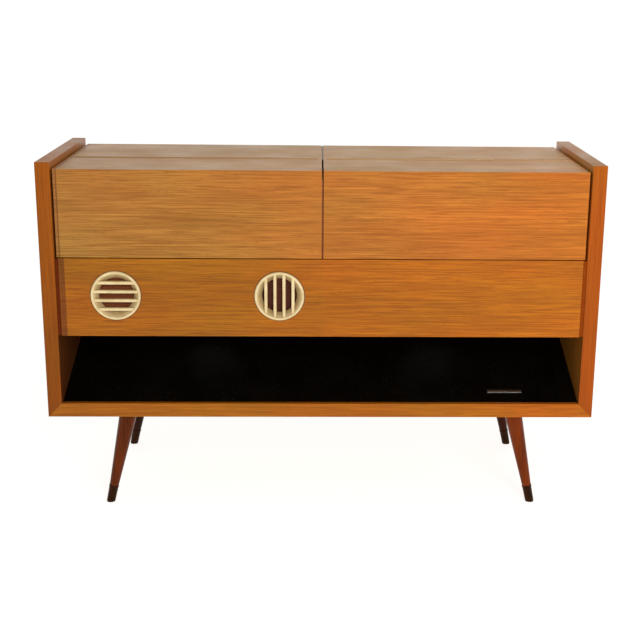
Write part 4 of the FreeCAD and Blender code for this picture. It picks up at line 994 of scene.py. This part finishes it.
def make_tonearm(ivory, steel, dark):
    """A moulded arm that widens to its head, with a cartridge, stylus, finger lift and counterweight."""
    pivot = joint_spot("arm_lift")
    low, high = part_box("tonearm")
    place = Matrix.Translation(pivot)
    head = (low.y - pivot.y) / MM
    shape = bmesh.new()
    sections = [(20, 2, 2), (19, 5, 4), (12, 6.8, 5.2), (-6, 7, 5.4), (-24, 5.6, 4.6), (-70, 4.6, 4.0)]
    sections += [(-130, 4.8, 3.8), (head + 62, 5.6, 4.0), (head + 46, 8.4, 4.4), (head + 36, 9.8, 4.6)]
    sections += [(head + 6, 9.6, 4.4), (head + 1.5, 8.6, 3.4), (head, 5, 1.6)]
    loft(shape, sections, place)
    make_piece(shape, "moulded_tonearm", ivory, "arm", "tonearm")
    cartridge = bmesh.new()
    block(cartridge, (-6.5, head + 7, -9), (6.5, head + 30, -3.6), 1.2, place)
    block(cartridge, (-2, head + 9, -10.6), (2, head + 20, -8.6), 0.6, place, 2)
    make_piece(cartridge, "pickup_cartridge", dark, "arm")
    trim = bmesh.new()
    needle = facing(pivot + Vector((0, head + 12, -9.8)) * MM, (0, -0.35, -1))
    lathe(trim, [(0, -0.6), (0.5, -0.6), (0.4, 0.5), (0.06, 1.3), (0, 1.35)], needle, 12)
    lift = [(9, 0.8), (14, 0.8), (17, 2.2), (18.5, 5)]
    for (x, z), (next_x, next_z) in zip(lift, lift[1:]):
        along = hypot(next_x - x, next_z - z)
        tilt = Matrix.Rotation(-atan2(next_z - z, next_x - x), 4, "Y")
        block(trim, (-0.4, -3, -0.5), (along + 0.4, 3, 0.5), 0.45, place @ shift(x, head + 14, z) @ tilt, 2)
    weight = facing(pivot + Vector((0, 18, 0)) * MM, (0, 1, 0))
    length = (high.y - pivot.y) / MM - 18
    rows = [(3, 18), (7.6, 18), (8.8, 17), (8.8, 12), (8.2, 11.4), (8.2, 10.6), (8.8, 10), (8.8, 1), (8, 0)]
    outline = [(0, 0), (3, 0)] + [(radius, length - back) for radius, back in rows] + [(0, length)]
    lathe(trim, soften(outline, 0.3, 2), weight, 48)
    make_piece(trim, "arm_trim", steel, "arm")


def make_arm_rest(dark):
    """The arm's cradle on its post, open on the inner side, so that the arm swings in freely."""
    pivot = joint_spot("arm_lift")
    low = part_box("arm_supports")[0]
    place = Matrix.Translation((pivot.x, low.y + 4 * MM, pivot.z))
    shape = bmesh.new()
    block(shape, (-7, -4.4, -7.4), (9, 4.4, -5.0), 0.8, place)
    block(shape, (7, -4.4, -7.4), (9, 4.4, 2.5), 0.8, place)
    make_piece(shape, "arm_rest_cradle", dark)


def make_speed_control(ivory, dark):
    """The speed knob with a raised pointer, and the four speeds printed round it."""
    spot = joint_spot("speed_turn")
    place = Matrix.Translation((spot.x, spot.y, PLATE_TOP))
    shape = bmesh.new()
    outline = [(12, 1), (13.6, 1.2), (14, 2), (13.6, 6), (12.4, 9.4), (11, 10.2), (0.3, 10.2)]
    fluted(shape, outline, 20, 0.8, place)
    block(shape, (-1.6, -10.5, 9.4), (1.6, 11.6, 13), 0.8, place)
    make_piece(shape, "speed_knob_body", ivory, "speed_selector", "speed_knob")
    figures = bmesh.new()
    for step, speed in enumerate(("16", "33", "45", "78")):
        turn = radians(139 - 33 * step)
        mark = place @ shift(FIGURE_RING * cos(turn), FIGURE_RING * sin(turn), 0.05)
        lettering(figures, speed, mark, 0.1)
    make_piece(figures, "speed_figures", dark)


# ---- loudspeakers and rear

MAIN_SPEAKER_RADIUS = 100
MAIN_SPEAKER_Y = -0.02
TREBLE_RADIUS = 50
LEAF_SCREWS = 8
SOCKET_STRIP = (-345, 576)


def make_cones():
    """Paper cones with a corrugated surround and a dust cap, in the places of the plain ones."""
    paper = plain("cone_paper", (34, 32, 30), (52, 49, 45), 0.85, 900)
    shape = bmesh.new()
    board_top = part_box("speaker_board")[1].z
    cloth_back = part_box("grille_cloth")[1].y
    low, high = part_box("speaker_cones")
    places = []
    for side in (-1, 1):
        x = side * (max(high.x, -low.x) - 0.88 * MAIN_SPEAKER_RADIUS * MM)
        places.append((MAIN_SPEAKER_RADIUS, Matrix.Translation((x, MAIN_SPEAKER_Y, board_top))))
    for name in ("grille_left", "grille_right"):
        middle = centre_of(name)
        places.append((TREBLE_RADIUS, facing((middle.x, cloth_back, middle.z), (0, 1, 0))))
    for size, place in places:
        outline = [(0.86, 0.004), (0.86, 0.012)]
        for step in range(25):
            share = step / 24
            outline.append((0.855 - 0.105 * share, 0.014 + 0.011 * cos(share * 6 * pi) + 0.03 * share))
        outline += [(0.70, 0.10), (0.24, 0.53), (0.20, 0.50), (0.10, 0.465), (0, 0.455)]
        lathe(shape, [(radius * size, height * size) for radius, height in outline], place, 72)
    make_piece(shape, "paper_cones", paper, replaces="speaker_cones")


def slotted_head(shape, place, turn):
    """A round screw head, its slot turned by an angle."""
    head = bmesh.new()
    dome = [(0, -2), (3.7, -2), (3.7, 0.5), (3.2, 1.2), (2.2, 1.7), (1.1, 1.95), (0, 2.0)]
    lathe(head, dome, segments=36)
    for side in (-1, 1):
        origin = Vector((0, side * 0.45, 0)) * MM
        geometry = head.verts[:] + head.edges[:] + head.faces[:]
        bmesh.ops.bisect_plane(head, geom=geometry, plane_co=origin, plane_no=(0, 1, 0))
    for vertex in head.verts:
        if abs(vertex.co.y) < 0.4 * MM and vertex.co.z > 0.4 * MM:
            vertex.co.z = 0.7 * MM
    join(shape, head, place @ Matrix.Rotation(turn, 4, "Z"))


def make_deck_screws(steel):
    """The slotted screws that hold the record player's plate down, each on a thin washer."""
    low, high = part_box("player_plate")
    shape = bmesh.new()
    for number in range(4):
        x = low.x + DECK_SCREW_INSET if number < 2 else high.x - DECK_SCREW_INSET
        y = high.y - DECK_SCREW_INSET if number % 2 else low.y + DECK_SCREW_INSET
        place = Matrix.Translation((x, y, PLATE_TOP))
        lathe(shape, [(3.4, -0.2), (6.2, -0.2), (6.2, 0.5), (5.8, 0.8), (3.4, 0.8)], place, 36)
        slotted_head(shape, place @ shift(0, 0, 0.8), radians(20 + 47 * number))
    make_piece(shape, "deck_screws", steel)


def make_screws(steel):
    """Slotted round-head screws with cup washers."""
    low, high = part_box("rear_screws")
    panel_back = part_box("back_panel")[1].y
    shape = bmesh.new()
    inset = 4 * MM
    for column in range(3):
        for row in range(3):
            x = low.x + inset + (high.x - low.x - 2 * inset) * column / 2
            z = low.z + inset + (high.z - low.z - 2 * inset) * row / 2
            place = facing((x, panel_back, z), (0, 1, 0))
            lathe(shape, [(5.4, -0.3), (5.4, 0.3), (4.6, 0.9), (3.6, 0.5), (3.2, -0.3)], place, 36)
            slotted_head(shape, place, radians(25 * (3 * column + row)))
    make_piece(shape, "slotted_screws", steel, replaces="rear_screws")


def make_hinge_screws(metal):
    """Countersunk screw heads in the leaves of both hinges, seen when the lids are open."""
    head = [(2.3, -0.3), (2.3, 0.02), (2.1, 0.12), (0.9, 0.12), (0.7, 0.04), (0, 0.04)]
    for side in ("left", "right"):
        low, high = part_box(f"lid_{side}_hinge_leaf")
        height = high.z - 8.5 * MM
        lid_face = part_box(f"lid_{side}_top")[1].y + 0.0007
        rear_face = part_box(f"rear_top_{side}")[0].y - 0.0007
        for body, face, out in ((f"lid_{side}", lid_face, 1), ("cabinet", rear_face, -1)):
            shape = bmesh.new()
            for step in range(LEAF_SCREWS):
                x = low.x + (high.x - low.x) * (step + 0.5) / LEAF_SCREWS
                lathe(shape, head, facing((x, face, height), (0, out, 0)), 20)
            name = f"{side}_hinge_screws_{'moving' if out > 0 else 'fixed'}"
            make_piece(shape, name, metal, body)


def make_rear_details(rubber, dark, brass):
    """The ribbed bush of the mains lead, and a strip of sockets under the air holes."""
    middle = centre_of("mains_gland")
    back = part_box("back_panel")[1].y
    place = facing((middle.x, back, middle.z), (0, 1, 0))
    bush = bmesh.new()
    outline = [(4, -6), (8, -6), (8, -0.2), (12, 0), (12, 1.4), (11, 2.2), (9.6, 2.4), (9.2, 2.9), (8, 3.1)]
    outline += [(5.4, 3.1), (4.4, 2.6), (4, 1.6), (4, -6)]
    lathe(bush, outline, place, 64)
    make_piece(bush, "mains_bush", rubber, replaces="mains_gland")
    strip = bmesh.new()
    x_low, z_low = SOCKET_STRIP
    block(strip, (x_low, back / MM - 0.1, z_low), (x_low + 132, back / MM + 2, z_low + 26), 0.8)
    make_piece(strip, "socket_strip", dark)
    sockets = bmesh.new()
    for step in range(6):
        for row in range(2):
            x = x_low + 16 + step * 20
            spot = facing(Vector((x, back / MM + 1.8, z_low + 8 + row * 10)) * MM, (0, 1, 0))
            lathe(sockets, [(1.6, 0), (3.4, 0), (3.4, 0.8), (2.6, 1.2), (1.6, 1.0), (1.6, -1)], spot, 28)
    make_piece(sockets, "socket_rings", brass)


# ---- light, floor and camera

CAMERA_PLACE = (-0.0117, -2.7459, 1.1376)
CAMERA_DOWN = 15.472
CAMERA_TURN = 1.624
CAMERA_ROLL = 0.643
CAMERA_LENS = 68.5
CAMERA_SHIFT = -0.04688


def make_camera():
    data = bpy.data.cameras.new("camera")
    data.sensor_width = 36
    data.lens = CAMERA_LENS
    data.shift_x = CAMERA_SHIFT
    data.clip_end = 200
    camera = link("camera", data)
    aim = Matrix.Rotation(radians(-CAMERA_TURN), 4, "Z")
    aim @= Matrix.Rotation(radians(90 - CAMERA_DOWN), 4, "X")
    aim @= Matrix.Rotation(radians(CAMERA_ROLL), 4, "Z")
    camera.matrix_world = Matrix.Translation(CAMERA_PLACE) @ aim
    bpy.context.scene.camera = camera


def make_floor():
    shape = bmesh.new()
    bmesh.ops.create_grid(shape, x_segments=8, y_segments=8, size=60)
    mesh = bpy.data.meshes.new("floor")
    shape.to_mesh(mesh)
    shape.free()
    paper = Surface("floor_paper", 0.75)
    tone = paper.noise(scale=3, detail=3.0)
    paper.plug(paper.mix(tone, (0.50, 0.50, 0.50), (0.53, 0.53, 0.53)))
    paper.set(Emission_Color=(0.98, 1, 1, 1), Emission_Strength=0.76, Specular_IOR_Level=0.1)
    mesh.materials.append(paper.material)
    link("floor", mesh)


SKY_LOW = 0.95
SKY_HIGH = 0.35
HORIZON = (1.08, 1.08, 1.07, 1.0)
WARM_SKY = (1.0, 0.965, 0.89, 1.0)
KEY_PLACE = (0.9, -3.6, 1.9)
KEY_AIM = (0, 0, 0.5)


def make_light():
    """A soft sky that is dimmer and warmer higher up, and one large lamp in front."""
    world = bpy.data.worlds.new("studio")
    world.use_nodes = True
    nodes, links = world.node_tree.nodes, world.node_tree.links
    split = nodes.new("ShaderNodeSeparateXYZ")
    links.new(nodes.new("ShaderNodeTexCoord").outputs["Generated"], split.inputs[0])

    def by_height(low, high, start=0.0, end=1.0):
        """A value that goes from start to end as the view direction rises from low to high."""
        item = nodes.new("ShaderNodeMapRange")
        links.new(split.outputs["Z"], item.inputs["Value"])
        for name, value in {"From Min": low, "From Max": high, "To Min": start, "To Max": end}.items():
            item.inputs[name].default_value = value
        return item.outputs["Result"]

    tint = nodes.new("ShaderNodeMix")
    tint.data_type = "RGBA"
    tint.inputs[6].default_value = HORIZON
    tint.inputs[7].default_value = WARM_SKY
    links.new(by_height(0.05, 0.12), tint.inputs[0])
    background = nodes["Background"]
    links.new(tint.outputs[2], background.inputs["Color"])
    links.new(by_height(0.25, 0.8, SKY_LOW, SKY_HIGH), background.inputs["Strength"])
    bpy.context.scene.world = world
    bpy.context.scene.view_settings.view_transform = "Standard"
    data = bpy.data.lights.new("key", "AREA")
    data.size = 1.4
    data.energy = 60
    data.color = (1.0, 0.97, 0.93)
    lamp = link("key", data)
    lamp.location = KEY_PLACE
    lamp.rotation_euler = (Vector(KEY_AIM) - Vector(KEY_PLACE)).to_track_quat("-Z", "Y").to_euler()


# ---- the scene

set_wood()
make_gap_strips()
make_lid_lipping()
dress(0.4, black_board(), "reflector_board")
dress(0.3, plain("bright_bar", (170, 168, 160), (205, 203, 196), 0.3, 200, 1.0), "badge_bar")
cream_moulding = cream(shade_and_grime=True)
# the dark ring round each grille rim: a painted shadow line
painted_rim_shadow = plain("painted_rim_shadow", (66, 30, 4), (88, 44, 8), 0.85, 900)
make_grille("grille_left", False, cream_moulding, painted_rim_shadow)
make_grille("grille_right", True, cream_moulding, painted_rim_shadow)
make_cloth()
make_legs()

ivory = cream("ivory_moulding", (214, 200, 164), (232, 220, 188))
brass = plain("brass", (176, 138, 72), (206, 168, 98), 0.3, 150, 1.0)
dark_brass = plain("aged_brass", (172, 139, 102), (188, 155, 114), 0.42, 150, 0.8, stretch=(1, 8, 8))
steel = plain("zinc_steel", (150, 150, 146), (186, 186, 182), 0.38, 90, 0.9)
enamel = plain("grey_enamel", (176, 172, 158), (182, 178, 164), 0.3, 25, depth=0.00001)
dark_plastic = plain("dark_moulding", (36, 26, 20), (42, 31, 24), 0.28, 60)
turned_metal = plain("turned_metal", (176, 176, 174), (204, 204, 202), 0.32, 60, 1.0)
rubber = plain("black_rubber", (24, 23, 22), (36, 35, 33), 0.75, 200)
hardboard = plain("hardboard", (92, 60, 34), (132, 92, 56), 0.75, 420)
clear = Surface("clear_glass", 0.0).set(Transmission_Weight=1.0, IOR=1.5)
smear = clear.noise(scale=40, detail=3.0)
clear.plug(clear.vary(smear, 0.0, 0.008), "Roughness")
clear.plug(clear.mix(smear, (0.90, 0.95, 0.93), (0.97, 0.99, 0.98)))
dress(0, dark_brass, "lid_left_hinge_leaf", "lid_right_hinge_leaf", "fixed_hinge_leaves", "hinge_pins")
dress(0.4, steel, "radio_chassis", "player_motor", "leg_studs")
dress(0.5, dark_plastic, "radio_front")
dress(0.8, enamel, "player_plate")
dress(0, enamel, "speaker_baskets")
dress(0.5, dark_plastic, "arm_supports")
dress(0.4, brass, "arm_gimbal")
dress(0.2, brass, "motor_pulley")
dress(0.2, rubber, "idler_wheel")
dress(0, hardboard, "back_panel")

make_knob("volume_knob", "volume", 22, -KNOB_OFF, KNOB_UP, (ivory, brass))
make_knob("tuning_knob", "tuning", 22, KNOB_OFF, KNOB_UP, (ivory, brass))
make_knob("tone_knob", "tone", 14, KNOB_OFF, SMALL_KNOB_UP, (ivory, brass))
make_keys(ivory)
make_dial(brass, clear)
make_valves(clear, steel)
make_transformer(steel)
make_capacitor(steel, brass)
make_turntable(turned_metal, steel)
make_tonearm(ivory, steel, dark_plastic)
make_speed_control(ivory, dark_plastic)
make_arm_rest(dark_plastic)
make_hinge_screws(dark_brass)
make_cones()
make_screws(steel)
make_deck_screws(steel)
make_rear_details(rubber, dark_plastic, brass)
make_floor()
make_light()
make_camera()
